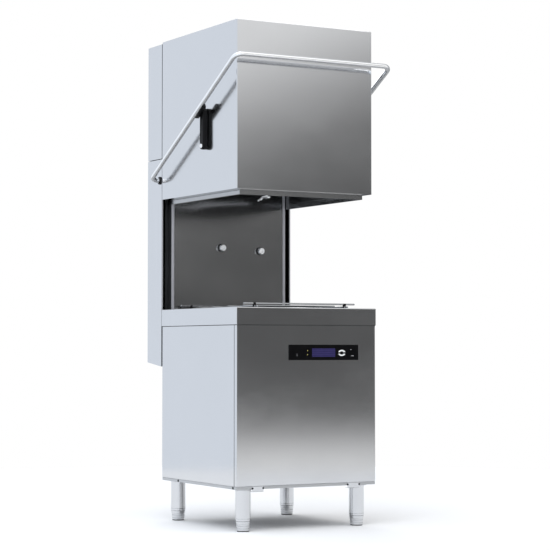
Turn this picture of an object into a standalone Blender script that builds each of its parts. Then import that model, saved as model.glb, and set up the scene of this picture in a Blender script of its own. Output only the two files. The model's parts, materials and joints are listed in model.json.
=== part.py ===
"""Pass-through hood-type commercial dishwasher, hood raised, with a rear column.

Metres, +Z up. X runs left to right seen from the front, Y from the front to the back.
The origin is on the floor, at the middle of the machine's outer width and depth.
"""

from math import atan2, cos, pi, radians, sin, tan

import bmesh
import bpy
from mathutils import Matrix, Vector

# ---------------------------------------------------------------- driving dimensions

BODY_HALF_W = 0.320          # deck, half of 640 mm
DECK_DEPTH = 0.650
FRONT = -0.366               # front face of the deck
REAR = FRONT + DECK_DEPTH
DECK_TOP = 0.869
DECK_BOTTOM = 0.801
CABINET_BOTTOM = 0.165

HOOD_HALF_W = 0.3104
HOOD_FRONT = FRONT + 0.015
HOOD_REAR = 0.298
HOOD_WALL = 0.034            # outer skin to inner skin, over both
HOOD_LIP = 0.020             # inner rim below the outer skin
HOOD_RIM = 0.006             # thickness of the inner rim
CLOSING_LOW = 0.001          # the plate that closes the hood's double wall, above the skin's edge
CLOSING_HIGH = 0.004
HOOD_TRAVEL = 0.439          # down to the deck, which the rim then nearly touches
HOOD_SEAT = 0.0005
HOOD_BOTTOM = DECK_TOP + HOOD_SEAT + HOOD_LIP + HOOD_TRAVEL
HOOD_TOP = 1.990

COLUMN_FRONT = 0.303
COLUMN_REAR = 0.434
COLUMN_BOTTOM = 0.633
COLUMN_REAR_BOTTOM = 0.650
COLUMN_SEAM = 1.500
COLUMN_TOP = 1.983

PIVOT_Y = 0.319              # handle pivot, on the column's sides
PIVOT_Z = 1.410
ARM_HALF_W = 0.353           # arm tube axis, from the middle plane
BAR_Y = -0.4245
BAR_Z = 1.8407
TUBE_R = 0.0095
LINK_Y = -0.0975             # link pin, on the hood's sides
LINK_PIN_Z = 1.5155
LINK_LENGTH = 0.1357
LINK_HALF_W = 0.015
LINK_INNER = 0.3125
LINK_OUTER = 0.3335

CHAMBER_Y = -0.031           # spindle of the spray arms
OPENING_HALF_W = 0.262
OPENING_FRONT = CHAMBER_Y - 0.265
OPENING_REAR = CHAMBER_Y + 0.265

LEG_X = 0.2595
LEG_FRONT_Y = -0.311
LEG_REAR_Y = 0.245
LEG_R = 0.030
FOOT_HEIGHT = 0.040

SHEET = 0.0015               # sheet steel
GAP = 0.0005                 # between pieces that touch
PANEL_INSET = 0.003          # the deck overhangs the panels by this much
PANEL_BOTTOM = 0.1765
PANEL_TOP = 0.825
WELD = 0.00005

X_AXIS, Y_AXIS, Z_AXIS = "X", "Y", "Z"

# ---------------------------------------------------------------- scene and helpers

for old in list(bpy.data.objects):
    bpy.data.objects.remove(old, do_unlink=True)

MACHINE = bpy.data.collections.new("commercial_dishwasher")
CUTTERS = bpy.data.collections.new("cutters")
bpy.context.scene.collection.children.link(MACHINE)
bpy.context.scene.collection.children.link(CUTTERS)


def finish(name, colour, roughness, metallic):
    """A plain material: colour, roughness and metallic value."""
    made = bpy.data.materials.new(name)
    made.use_nodes = True
    shader = made.node_tree.nodes["Principled BSDF"]
    shader.inputs["Base Color"].default_value = (*colour, 1.0)
    shader.inputs["Roughness"].default_value = roughness
    shader.inputs["Metallic"].default_value = metallic
    return made


STEEL = finish("brushed_stainless", (0.62, 0.64, 0.66), 0.34, 1.0)
INNER_STEEL = finish("chamber_stainless", (0.50, 0.51, 0.52), 0.30, 1.0)
CHROME = finish("polished_stainless", (0.80, 0.81, 0.83), 0.10, 1.0)
DARK_STEEL = finish("frame_steel", (0.38, 0.39, 0.40), 0.45, 1.0)
BLACK = finish("black_plastic", (0.02, 0.02, 0.022), 0.45, 0.0)
FASCIA = finish("fascia_plastic", (0.008, 0.008, 0.010), 0.25, 0.0)
WHITE = finish("white_plastic", (0.80, 0.80, 0.78), 0.40, 0.0)
LCD = finish("display_glass", (0.02, 0.03, 0.20), 0.12, 0.0)
MOTOR = finish("motor_paint", (0.10, 0.11, 0.13), 0.50, 0.0)
ALUMINIUM = finish("aluminium_fins", (0.70, 0.71, 0.73), 0.40, 1.0)
SPRING_STEEL = finish("spring_steel", (0.45, 0.45, 0.46), 0.30, 1.0)


def place(name, data, look, location=(0, 0, 0), cutter=False):
    """Links a new object with its material, in the part or among the cutters."""
    made = bpy.data.objects.new(name, data)
    made.location = location
    if cutter:
        CUTTERS.objects.link(made)
        made.hide_render = True
        made.display_type = "WIRE"
    else:
        MACHINE.objects.link(made)
        data.materials.append(look)
    return made


SIDES = {"-X": (0, -1), "+X": (0, 1), "-Y": (1, -1), "+Y": (1, 1), "-Z": (2, -1), "+Z": (2, 1)}


def block(name, low, high, look=None, origin=None, open_sides=(), bevel=0.0, cutter=False):
    """A box between two corners. The faces named in open_sides are left out."""
    low, high = Vector(low), Vector(high)
    centre = (low + high) / 2
    origin = centre if origin is None else Vector(origin)
    shape = bmesh.new()
    bmesh.ops.create_cube(shape, size=1.0)
    size = high - low
    for vertex in shape.verts:
        vertex.co = Vector(a * b for a, b in zip(vertex.co, size)) + centre - origin
    shape.normal_update()
    gone = []
    for side in open_sides:
        axis, sign = SIDES[side]
        gone += [face for face in shape.faces if face.normal[axis] * sign > 0.9]
    bmesh.ops.delete(shape, geom=gone, context="FACES")
    mesh = bpy.data.meshes.new(name)
    shape.to_mesh(mesh)
    shape.free()
    made = place(name, mesh, look, origin, cutter)
    if bevel:
        add_bevel(made, bevel)
    return made


def add_bevel(piece, width, segments=2):
    """Rounded edges."""
    rounded = piece.modifiers.new("edges", "BEVEL")
    rounded.width = width
    rounded.segments = segments
    rounded.limit_method = "ANGLE"
    rounded.angle_limit = radians(40)
    return rounded


def sheet_box(name, low, high, look, open_sides, thickness=SHEET, bevel=0.0, origin=None):
    """A folded sheet box, open on the named sides, of the given thickness inwards."""
    made = block(name, low, high, look, origin, open_sides, bevel)
    folded = made.modifiers.new("sheet", "SOLIDIFY")
    folded.thickness = thickness
    folded.offset = -1.0
    folded.use_even_offset = True
    return made


def turn_to(piece, axis):
    """Turns a piece built along its own Z so that it lies along the given axis."""
    turns = {X_AXIS: (0, pi / 2, 0), Y_AXIS: (-pi / 2, 0, 0), Z_AXIS: (0, 0, 0)}
    piece.rotation_euler = turns[axis]
    return piece


def rod(name, centre, radius, length, axis=Z_AXIS, look=None, segments=20, cutter=False):
    """A plain cylinder."""
    shape = bmesh.new()
    bmesh.ops.create_cone(shape, cap_ends=True, cap_tris=False, segments=segments,
                          radius1=radius, radius2=radius, depth=length)
    mesh = bpy.data.meshes.new(name)
    shape.to_mesh(mesh)
    shape.free()
    made = place(name, mesh, look, centre, cutter)
    smooth(mesh)
    return turn_to(made, axis)


def smooth(mesh):
    """Smooth shading with sharp corners kept."""
    mesh.shade_smooth()
    mesh.set_sharp_from_angle(angle=radians(35))


def turned(name, profile, centre, look, axis=Z_AXIS, segments=20, cutter=False):
    """A turned solid: its (radius, height) profile runs from the top to the bottom."""
    shape = bmesh.new()
    points = [shape.verts.new((radius, 0, height)) for radius, height in profile]
    for above, below in zip(points, points[1:]):
        shape.edges.new((above, below))
    mesh = bpy.data.meshes.new(name)
    shape.to_mesh(mesh)
    shape.free()
    made = place(name, mesh, look, centre, cutter)
    spin = made.modifiers.new("turned", "SCREW")
    spin.axis = Z_AXIS
    spin.steps = segments
    spin.render_steps = segments
    spin.use_merge_vertices = True
    spin.merge_threshold = WELD
    spin.use_smooth_shade = True
    return turn_to(made, axis)


def tube(name, points, radius, look, origin=(0, 0, 0), resolution=2, closed=False):
    """A round bar or tube along a row of points."""
    curve = bpy.data.curves.new(name, "CURVE")
    curve.dimensions = "3D"
    curve.bevel_depth = radius
    curve.bevel_resolution = resolution
    curve.use_fill_caps = True
    spline = curve.splines.new("POLY")
    spline.points.add(len(points) - 1)
    for knot, point in zip(spline.points, points):
        knot.co = (*(Vector(point) - Vector(origin)), 1.0)
    spline.use_cyclic_u = closed
    return place(name, curve, look, origin)


def outline(name, points, thickness, look, centre, axis, cutter=False):
    """A flat plate of the given outline, square to the axis."""
    curve = bpy.data.curves.new(name, "CURVE")
    curve.dimensions = "2D"
    curve.fill_mode = "BOTH"
    curve.extrude = thickness / 2
    spline = curve.splines.new("POLY")
    spline.points.add(len(points) - 1)
    for knot, (x, y) in zip(spline.points, points):
        knot.co = (x, y, 0, 1)
    spline.use_cyclic_u = True
    shape = place(name, curve, look, centre)
    # The outline's first coordinate is depth on an X plate and width on a Y plate,
    # and its second is height on both.
    turns = {X_AXIS: (pi / 2, 0, pi / 2), Y_AXIS: (pi / 2, 0, 0), Z_AXIS: (0, 0, 0)}
    shape.rotation_euler = turns[axis]
    return as_mesh(shape, cutter)


def as_mesh(shape, cutter=False):
    """A curve made into a closed mesh in the same place, so that it can be cut."""
    bpy.context.view_layer.update()
    name = shape.name
    look = shape.data.materials[0]
    evaluated = shape.evaluated_get(bpy.context.evaluated_depsgraph_get())
    mesh = bpy.data.meshes.new_from_object(evaluated)
    skin = bmesh.new()
    skin.from_mesh(mesh)
    bmesh.ops.remove_doubles(skin, verts=skin.verts, dist=WELD)
    skin.to_mesh(mesh)
    skin.free()
    mesh.materials.clear()
    where = shape.matrix_world.copy()
    bpy.data.objects.remove(shape, do_unlink=True)
    made = place(name, mesh, look, cutter=cutter)
    made.matrix_world = where
    return made


def combine(piece, other, operation):
    """A Boolean with the exact solver."""
    step = piece.modifiers.new(other.name, "BOOLEAN")
    step.operation = operation
    step.solver = "EXACT"
    step.object = other


def cut(piece, *cutters):
    """Takes the cutters away from the piece."""
    for cutter in cutters:
        combine(piece, cutter, "DIFFERENCE")


def weld(piece, *others):
    """Adds the other shapes to the piece, as one solid."""
    for other in others:
        combine(piece, other, "UNION")


def rounded_path(corners, radius, steps=5):
    """The points of a bent tube: straight runs joined by arcs of one radius."""
    corners = [Vector(corner) for corner in corners]
    path = [corners[0]]
    for before, corner, after in zip(corners, corners[1:], corners[2:]):
        along = (corner - before).normalized()
        away = (after - corner).normalized()
        turn = along.angle(away)
        reach = radius * tan(turn / 2)
        centre = corner + (away - along).normalized() * radius / cos(turn / 2)
        spoke = corner - along * reach - centre
        hinge = along.cross(away).normalized()
        path += [centre + Matrix.Rotation(turn * k / steps, 3, hinge) @ spoke for k in range(steps + 1)]
    path.append(corners[-1])
    return path


def arc(centre, radius_x, radius_y, start, stop, steps):
    """Points along an arc, angles in degrees."""
    turns = [radians(start + (stop - start) * k / steps) for k in range(steps + 1)]
    return [(centre[0] + radius_x * cos(a), centre[1] + radius_y * sin(a)) for a in turns]


def axis_empty(name, location, *pieces):
    """An empty on a joint's axis, with the pieces that turn or slide with it."""
    empty = bpy.data.objects.new(name, None)
    empty.location = location
    empty.empty_display_size = 0.05
    MACHINE.objects.link(empty)
    bpy.context.view_layer.update()
    for piece in pieces:
        piece.parent = empty
        piece.matrix_parent_inverse = empty.matrix_world.inverted()
    return empty


def side_name(side):
    """The name of the machine's left (-1) or right (+1) side."""
    return "left" if side < 0 else "right"


def span(side, inner, outer):
    """Low and high X of something between two distances from the middle plane."""
    return (min(side * inner, side * outer), max(side * inner, side * outer))


# ---------------------------------------------------------------- base cabinet

FRAME_HALF_W = 0.300
FRAME_FRONT = FRONT + 0.026
FRAME_REAR = REAR - 0.022
FRAME_RAIL = 0.018
FRAME_TOP = 0.800
PLINTH_TOP = PANEL_BOTTOM - GAP
PLINTH_HALF_W = BODY_HALF_W - PANEL_INSET - 0.0015
PLINTH_FRONT = FRONT + PANEL_INSET + 0.0015
PLINTH_REAR = REAR - PANEL_INSET - 0.0015
PLINTH_RAIL = 0.060


def make_base_frame():
    """Twelve square rails on a plinth ring."""
    frame = block("base_frame", (-FRAME_HALF_W, FRAME_FRONT, CABINET_BOTTOM + 0.002),
                  (FRAME_HALF_W, FRAME_REAR, FRAME_TOP), DARK_STEEL)
    rail = FRAME_RAIL
    inner_low = (-FRAME_HALF_W + rail, FRAME_FRONT + rail, CABINET_BOTTOM + rail)
    inner_high = (FRAME_HALF_W - rail, FRAME_REAR - rail, FRAME_TOP - rail)
    for axis, letter in enumerate("xyz"):
        low, high = list(inner_low), list(inner_high)
        low[axis] = -2.0
        high[axis] = 2.0
        cut(frame, block("frame_way_" + letter, low, high, cutter=True))
    plinth = block("frame_plinth", (-PLINTH_HALF_W, PLINTH_FRONT, CABINET_BOTTOM),
                   (PLINTH_HALF_W, PLINTH_REAR, PLINTH_TOP), cutter=True)
    well = block("frame_plinth_well",
                 (-PLINTH_HALF_W + PLINTH_RAIL, PLINTH_FRONT + PLINTH_RAIL, 0.1),
                 (PLINTH_HALF_W - PLINTH_RAIL, PLINTH_REAR - PLINTH_RAIL, 0.3), cutter=True)
    cut(plinth, well)
    weld(frame, plinth)


def make_deck():
    """The pressed deck with its band and the opening over the tank."""
    deck = sheet_box("tank_deck", (-BODY_HALF_W, FRONT, DECK_BOTTOM), (BODY_HALF_W, REAR, DECK_TOP),
                     STEEL, ("-Z",), bevel=0.003)
    opening = block("deck_opening", (-OPENING_HALF_W, OPENING_FRONT, DECK_TOP - 0.02),
                    (OPENING_HALF_W, OPENING_REAR, DECK_TOP + 0.02), cutter=True)
    cut(deck, opening)


TANK_WALL = OPENING_HALF_W - 0.0015
TANK_FRONT = OPENING_FRONT + 0.0015
TANK_REAR = OPENING_REAR - 0.0015
TANK_TOP = DECK_TOP - SHEET - GAP
TANK_FLOOR = 0.610
SUMP_FLOOR = 0.545
SUMP_HALF = 0.140
TANK_FLANGE = 0.014
OVERFLOW_X = 0.095
OVERFLOW_Y = CHAMBER_Y + 0.090
RISER_R = 0.016
DRAIN_R = 0.019


def make_tank():
    """A basin with a flange under the deck and a floor that slopes to a sump."""
    shape = bmesh.new()
    bmesh.ops.create_cube(shape, size=1.0)
    low = Vector((-TANK_WALL, TANK_FRONT, TANK_FLOOR))
    high = Vector((TANK_WALL, TANK_REAR, TANK_TOP))
    for vertex in shape.verts:
        part = vertex.co + Vector((0.5, 0.5, 0.5))
        vertex.co = Vector(a + (b - a) * t for a, b, t in zip(low, high, part))
    shape.normal_update()
    lid = [face for face in shape.faces if face.normal.z > 0.9]
    bmesh.ops.delete(shape, geom=lid, context="FACES")
    floor = [face for face in shape.faces if face.normal.z < -0.9]
    bmesh.ops.inset_region(shape, faces=floor, thickness=TANK_WALL - SUMP_HALF)
    for face in floor:
        for vertex in face.verts:
            vertex.co.z = TANK_FLOOR - 0.030
    bmesh.ops.inset_region(shape, faces=floor, thickness=0.002)
    for face in floor:
        for vertex in face.verts:
            vertex.co.z = SUMP_FLOOR
    mesh = bpy.data.meshes.new("wash_tank")
    shape.to_mesh(mesh)
    shape.free()
    tank = place("wash_tank", mesh, INNER_STEEL)
    walls = tank.modifiers.new("sheet", "SOLIDIFY")
    walls.thickness = SHEET
    walls.offset = -1.0
    walls.use_even_offset = True
    flange = block("tank_flange", (-TANK_WALL - TANK_FLANGE, TANK_FRONT - TANK_FLANGE, TANK_TOP - SHEET),
                   (TANK_WALL + TANK_FLANGE, TANK_REAR + TANK_FLANGE, TANK_TOP), cutter=True)
    mouth = block("tank_mouth", (-TANK_WALL + SHEET, TANK_FRONT + SHEET, TANK_TOP - 0.01),
                  (TANK_WALL - SHEET, TANK_REAR - SHEET, TANK_TOP + 0.01), cutter=True)
    cut(flange, mouth)
    weld(tank, flange)
    riser = rod("tank_riser_hole", (0, CHAMBER_Y, SUMP_FLOOR), RISER_R + GAP, 0.04, cutter=True)
    drain = rod("tank_drain_hole", (OVERFLOW_X, OVERFLOW_Y, SUMP_FLOOR), DRAIN_R + GAP, 0.04,
                cutter=True)
    cut(tank, riser, drain)


FASCIA_LOW = (-0.085, 0.6625)
FASCIA_HIGH = (0.235, 0.7230)
WINDOW_LOW = (0.020, 0.6745)
WINDOW_HIGH = (0.128, 0.7095)
KEYPAD = (0.158, 0.6905)             # middle of the arrow buttons
KEYPAD_RX = 0.0165
KEYPAD_RZ = 0.0122
POWER_LOW = (-0.0545, 0.6755)
POWER_HIGH = (-0.0435, 0.6895)
PANEL_FACE = FRONT + PANEL_INSET
FASCIA_FRONT = PANEL_FACE - 0.0025
FASCIA_BACK = PANEL_FACE - GAP
FRONT_RETURN = 0.018
SIDE_RETURN = 0.014


def make_panels():
    """Front, side and rear panels: folded sheets with short returns."""
    half = BODY_HALF_W - PANEL_INSET
    front = sheet_box("front_panel", (-half, PANEL_FACE, PANEL_BOTTOM),
                      (half, PANEL_FACE + FRONT_RETURN, PANEL_TOP), STEEL, ("+Y",), 0.0012, bevel=0.002)
    hole = block("fascia_hole", (FASCIA_LOW[0] + 0.010, PANEL_FACE - 0.01, FASCIA_LOW[1] + 0.008),
                 (FASCIA_HIGH[0] - 0.010, PANEL_FACE + 0.01, FASCIA_HIGH[1] - 0.008), cutter=True)
    cut(front, hole)
    side_front = PANEL_FACE + FRONT_RETURN + 0.0015
    side_rear = REAR - PANEL_INSET
    for side in (-1, 1):
        low_x, high_x = span(side, half - SIDE_RETURN, half)
        inner = "+X" if side < 0 else "-X"
        sheet_box(side_name(side) + "_side_panel", (low_x, side_front, PANEL_BOTTOM),
                  (high_x, side_rear, PANEL_TOP), STEEL, (inner,), 0.0012, bevel=0.002)
    sheet_box("base_rear_panel", (-half + SIDE_RETURN + GAP, side_rear - 0.012, PANEL_BOTTOM),
              (half - SIDE_RETURN - GAP, side_rear, PANEL_TOP), STEEL, ("-Y",), 0.0012)


STEM_R = 0.006
FOOT_TRAVEL = 0.040
THREAD_LEFT = 0.030          # still in the leg with the foot screwed right out
STEM_TOP = FOOT_HEIGHT + FOOT_TRAVEL + THREAD_LEFT


def make_legs():
    """Tubular legs with a flange at the top and a screwed foot in each."""
    top = CABINET_BOTTOM - GAP
    bore = STEM_R + 0.0006
    flange_r = 0.041
    for end, y in (("front", LEG_FRONT_Y), ("rear", LEG_REAR_Y)):
        for side in (-1, 1):
            place_name = f"{end}_{side_name(side)}"
            leg_bottom = FOOT_HEIGHT + GAP
            profile = [(0, top), (flange_r, top), (flange_r, top - 0.003), (LEG_R, top - 0.003),
                       (LEG_R, leg_bottom), (bore, leg_bottom), (bore, STEM_TOP + 0.004),
                       (0, STEM_TOP + 0.004)]
            turned("leg_" + place_name, profile, (side * LEG_X, y, 0), STEEL)
            foot = [(0, STEM_TOP), (STEM_R, STEM_TOP), (STEM_R, FOOT_HEIGHT), (0.0285, FOOT_HEIGHT),
                    (0.0285, 0.031), (0.0262, 0.024), (0.0262, 0.006), (0.0240, 0.0), (0, 0.0)]
            turned("foot_" + place_name, foot, (side * LEG_X, y, 0), DARK_STEEL, segments=20)


# ---------------------------------------------------------------- controls


def make_controls():
    """The black fascia with its window, power button and arrow buttons."""
    fascia = block("control_fascia", (FASCIA_LOW[0], FASCIA_FRONT, FASCIA_LOW[1]),
                   (FASCIA_HIGH[0], FASCIA_BACK, FASCIA_HIGH[1]), FASCIA)
    window = block("fascia_window", (WINDOW_LOW[0], FASCIA_FRONT - 0.01, WINDOW_LOW[1]),
                   (WINDOW_HIGH[0], FASCIA_BACK + 0.01, WINDOW_HIGH[1]), cutter=True)
    power_hole = block("fascia_power_hole", (POWER_LOW[0] - GAP, FASCIA_FRONT - 0.01, POWER_LOW[1] - GAP),
                       (POWER_HIGH[0] + GAP, FASCIA_BACK + 0.01, POWER_HIGH[1] + GAP), cutter=True)
    around = arc((0, 0), KEYPAD_RX + GAP, KEYPAD_RZ + GAP, 0, 345, 23)
    keypad_hole = outline("fascia_keypad_hole", around, 0.02, FASCIA,
                          (KEYPAD[0], FASCIA_FRONT, KEYPAD[1]), Y_AXIS, cutter=True)
    cut(fascia, window, power_hole, keypad_hole)
    block("display_window", (WINDOW_LOW[0] + GAP, FASCIA_FRONT + 0.0004, WINDOW_LOW[1] + GAP),
          (WINDOW_HIGH[0] - GAP, FASCIA_BACK, WINDOW_HIGH[1] - GAP), LCD)
    cap_front = FASCIA_FRONT - 0.0008
    cap_depth = 0.006
    block("power_button", (POWER_LOW[0], cap_front, POWER_LOW[1]),
          (POWER_HIGH[0], cap_front + cap_depth, POWER_HIGH[1]), BLACK)
    for name, start in (("up_button", 12), ("down_button", 192)):
        outer = arc((0, 0), KEYPAD_RX, KEYPAD_RZ, start, start + 156, 12)
        inner = arc((0, 0), KEYPAD_RX * 0.52, KEYPAD_RZ * 0.46, start + 156, start, 8)
        outline(name, outer + inner, cap_depth, WHITE,
                (KEYPAD[0], cap_front + cap_depth / 2, KEYPAD[1]), Y_AXIS)
    outline("select_button", arc((0, 0), KEYPAD_RX * 0.44, KEYPAD_RZ * 0.36, 0, 340, 17), cap_depth,
            BLACK, (KEYPAD[0], cap_front + cap_depth / 2, KEYPAD[1]), Y_AXIS)


# ---------------------------------------------------------------- column and tower

RAIL_INNER = 0.2605
RAIL_OUTER = 0.274
RAIL_FRONT = REAR + GAP
RAIL_REAR = 0.345
RAIL_BOTTOM = 0.850
RAIL_TOP = 1.975
BACK_PANEL_HALF_W = RAIL_INNER - 0.001
MANIFOLD_Z = 1.378
MANIFOLD_R = 0.013
BUSH_R = 0.0165
SHANK_R = 0.0125


def make_column():
    """The rear column in two casings, and the bracket that holds it to the base."""
    lower = sheet_box("column_casing", (-HOOD_HALF_W, COLUMN_FRONT, COLUMN_BOTTOM),
                      (HOOD_HALF_W, COLUMN_REAR, COLUMN_SEAM - 0.0015), STEEL, ("-Y", "+Z"))
    middle = (COLUMN_FRONT + COLUMN_REAR) / 2
    for vertex in lower.data.vertices:
        world = vertex.co + lower.location
        if world.y > middle and world.z < 0.7:
            vertex.co.z += COLUMN_REAR_BOTTOM - COLUMN_BOTTOM
    pivots = rod("pivot_holes", (0, PIVOT_Y, PIVOT_Z), SHANK_R + GAP, 1.0, X_AXIS, cutter=True)
    cut(lower, pivots)
    sheet_box("tower_casing", (-HOOD_HALF_W, COLUMN_FRONT, COLUMN_SEAM + 0.0015),
              (HOOD_HALF_W, COLUMN_REAR, COLUMN_TOP), STEEL, ("-Y", "-Z"), bevel=0.002)
    sheet_box("column_bracket", (-0.296, REAR - PANEL_INSET + GAP, 0.660),
              (0.296, COLUMN_FRONT + 0.030, 0.790), DARK_STEEL, ("-Z", "+Z"), 0.003)


def make_back_panel():
    """The chamber's back wall, its two knobs and the guide rails beside it."""
    panel = sheet_box("chamber_back_panel", (-BACK_PANEL_HALF_W, RAIL_FRONT, RAIL_BOTTOM),
                      (BACK_PANEL_HALF_W, RAIL_FRONT + 0.020, RAIL_TOP), INNER_STEEL, ("+Y",))
    pipe_hole = rod("manifold_hole", (0, RAIL_FRONT, MANIFOLD_Z), MANIFOLD_R + 0.001, 0.02, Y_AXIS,
                    cutter=True)
    cut(panel, pipe_hole)
    for side in (-1, 1):
        low_x, high_x = span(side, RAIL_INNER, RAIL_OUTER)
        outer = "-X" if side < 0 else "+X"
        sheet_box(side_name(side) + "_guide_rail", (low_x, RAIL_FRONT, RAIL_BOTTOM),
                  (high_x, RAIL_REAR, RAIL_TOP), CHROME, (outer,), 0.002)
    for side, x, z in ((-1, -0.038, 1.134), (1, 0.148, 1.125)):
        profile = [(0, 0.020), (0.007, 0.020), (0.0105, 0.018), (0.0125, 0.014), (0.0125, 0.007),
                   (0.0165, 0.006), (0.0165, 0.0), (0, 0.0)]
        knob = turned(side_name(side) + "_panel_knob", profile, (x, RAIL_FRONT - GAP, z), CHROME,
                      Y_AXIS, 20)
        knob.rotation_euler = (pi / 2, 0, 0)


SPRING_X = 0.292
SPRING_Y = 0.362
SPRING_BOTTOM = 1.3965
SPRING_TOP = 1.965
SPRING_TURNS = 15


def make_springs():
    """Extension springs between the tower and the hood's lower carriages."""
    steps = 6
    wire = 0.0016
    radius = 0.0075
    for side in (-1, 1):
        count = SPRING_TURNS * steps
        points = []
        for k in range(count + 1):
            turn = 2 * pi * k / steps
            height = SPRING_BOTTOM + wire + (SPRING_TOP - SPRING_BOTTOM - 2 * wire) * k / count
            points.append((side * SPRING_X + radius * cos(turn), SPRING_Y + radius * sin(turn), height))
        tube(side_name(side) + "_counterbalance_spring", points, wire, SPRING_STEEL,
             (side * SPRING_X, SPRING_Y, SPRING_TOP), resolution=0)


COIL_LOW = (-0.200, 0.325, 1.560)
COIL_HIGH = (0.200, 0.415, 1.640)
FAN_X = 0.0
FAN_Y = 0.370
FAN_Z = 1.760
FAN_R = 0.048


def make_condenser():
    """The heat-recovery coil in the tower, with its fan above it."""
    coil = block("condenser_coil", COIL_LOW, COIL_HIGH, ALUMINIUM)
    fins = 14
    pitch = (COIL_HIGH[0] - COIL_LOW[0]) / fins
    for face, low_y, high_y in (("front", COIL_LOW[1] - 0.01, COIL_LOW[1] + 0.035),
                                ("rear", COIL_HIGH[1] - 0.035, COIL_HIGH[1] + 0.01)):
        slot = block("coil_slots_" + face,
                     (COIL_LOW[0] + pitch * 0.75, low_y, COIL_LOW[2] - 0.01),
                     (COIL_LOW[0] + pitch * 1.25, high_y, COIL_HIGH[2] + 0.01), cutter=True)
        row = slot.modifiers.new("row", "ARRAY")
        row.count = fins - 1
        row.use_relative_offset = False
        row.use_constant_offset = True
        row.constant_offset_displace = (pitch, 0, 0)
        cut(coil, slot)
    half = 0.062
    shroud = block("fan_housing", (FAN_X - half, FAN_Y - half + 0.004, FAN_Z - 0.022),
                   (FAN_X + half, FAN_Y + half - 0.004, FAN_Z + 0.022), BLACK)
    throat = rod("fan_throat", (FAN_X, FAN_Y, FAN_Z), FAN_R + 0.003, 0.1, cutter=True, segments=28)
    cut(shroud, throat)
    strut = block("fan_strut", (FAN_X - half + 0.002, FAN_Y - 0.005, FAN_Z - 0.022),
                  (FAN_X + half - 0.002, FAN_Y + 0.005, FAN_Z - 0.017), cutter=True)
    weld(shroud, strut)
    wheel = rod("fan_wheel", (FAN_X, FAN_Y, FAN_Z + 0.004), 0.018, 0.028, look=BLACK, segments=20)
    blades = 5
    for k in range(blades):
        turn = 2 * pi * k / blades
        blade = block(f"fan_blade_{k}", (0.010, -0.010, -0.0012), (FAN_R, 0.010, 0.0012),
                      origin=(0, 0, 0), cutter=True)
        blade.matrix_world = (Matrix.Translation((FAN_X, FAN_Y, FAN_Z + 0.004))
                              @ Matrix.Rotation(turn, 4, "Z") @ Matrix.Rotation(radians(32), 4, "X"))
        weld(wheel, blade)


# ---------------------------------------------------------------- water system

PUMP_X = -0.036
PUMP_Y = CHAMBER_Y
PUMP_Z = 0.360
VOLUTE_R = 0.078
HUB_Z = 0.806
NUT_R = 0.0115
SPINDLE_R = 0.006
ARM_BORE = SPINDLE_R + 0.0006
UPPER_WASH_Z = 1.353
UPPER_RINSE_Z = 1.335
LOWER_WASH_Z = 0.821
LOWER_RINSE_Z = 0.839
WASH_ARM_HALF = 0.245
RINSE_ARM_HALF = 0.238


def make_pump():
    """Wash pump: a volute with a bore, its impeller and the motor behind it."""
    half = 0.027
    profile = [(0.024, half), (VOLUTE_R, half), (VOLUTE_R, -half), (0.011, -half), (0.011, -half + 0.006),
               (0.064, -half + 0.006), (0.064, half - 0.006), (0.024, half - 0.006), (0.024, half)]
    volute = turned("wash_pump_housing", profile, (PUMP_X, PUMP_Y, PUMP_Z), BLACK, X_AXIS, 28)
    outlet_z = PUMP_Z + VOLUTE_R + 0.010
    spigot = rod("pump_outlet", (PUMP_X, PUMP_Y, outlet_z), 0.0215, 0.060, cutter=True)
    spigot_bore = rod("pump_outlet_bore", (PUMP_X, PUMP_Y, outlet_z), 0.0175, 0.080, cutter=True)
    weld(volute, spigot)
    cut(volute, spigot_bore)
    wheel = rod("pump_impeller", (PUMP_X, PUMP_Y, PUMP_Z), 0.056, 0.006, X_AXIS, WHITE, 28)
    boss = rod("impeller_boss", (PUMP_X - 0.020, PUMP_Y, PUMP_Z), 0.009, 0.040, X_AXIS, cutter=True)
    weld(wheel, boss)
    vanes = 6
    for k in range(vanes):
        vane = block(f"impeller_vane_{k}", (0.002, 0.012, -0.0015), (0.014, 0.054, 0.0015),
                     origin=(0, 0, 0), cutter=True)
        vane.matrix_world = (Matrix.Translation((PUMP_X, PUMP_Y, PUMP_Z))
                             @ Matrix.Rotation(2 * pi * k / vanes, 4, "X"))
        weld(wheel, vane)
    motor_end = PUMP_X - half - 0.0145
    profile = [(0, 0.0), (0.045, 0.0), (0.055, -0.006), (0.055, -0.120), (0.045, -0.130),
               (0.020, -0.134), (0, -0.134)]
    turned("wash_pump_motor", profile, (motor_end, PUMP_Y, PUMP_Z), MOTOR, X_AXIS, 24)


def make_lower_manifold():
    """The riser from the pump to the lower arms' hub."""
    start = (PUMP_X, PUMP_Y, PUMP_Z + VOLUTE_R + 0.022)
    route = rounded_path([start, (PUMP_X, PUMP_Y, 0.492), (0, CHAMBER_Y, 0.520),
                          (0, CHAMBER_Y, HUB_Z)], 0.024, 4)
    riser = as_mesh(tube("lower_manifold", route, RISER_R, INNER_STEEL, resolution=4))
    spindle = rod("lower_spindle", (0, CHAMBER_Y, HUB_Z + 0.021), SPINDLE_R, 0.050, cutter=True)
    nut = rod("lower_nut", (0, CHAMBER_Y, LOWER_RINSE_Z + 0.0095), NUT_R, 0.006, cutter=True,
              segments=6)
    weld(riser, spindle, nut)


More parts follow.
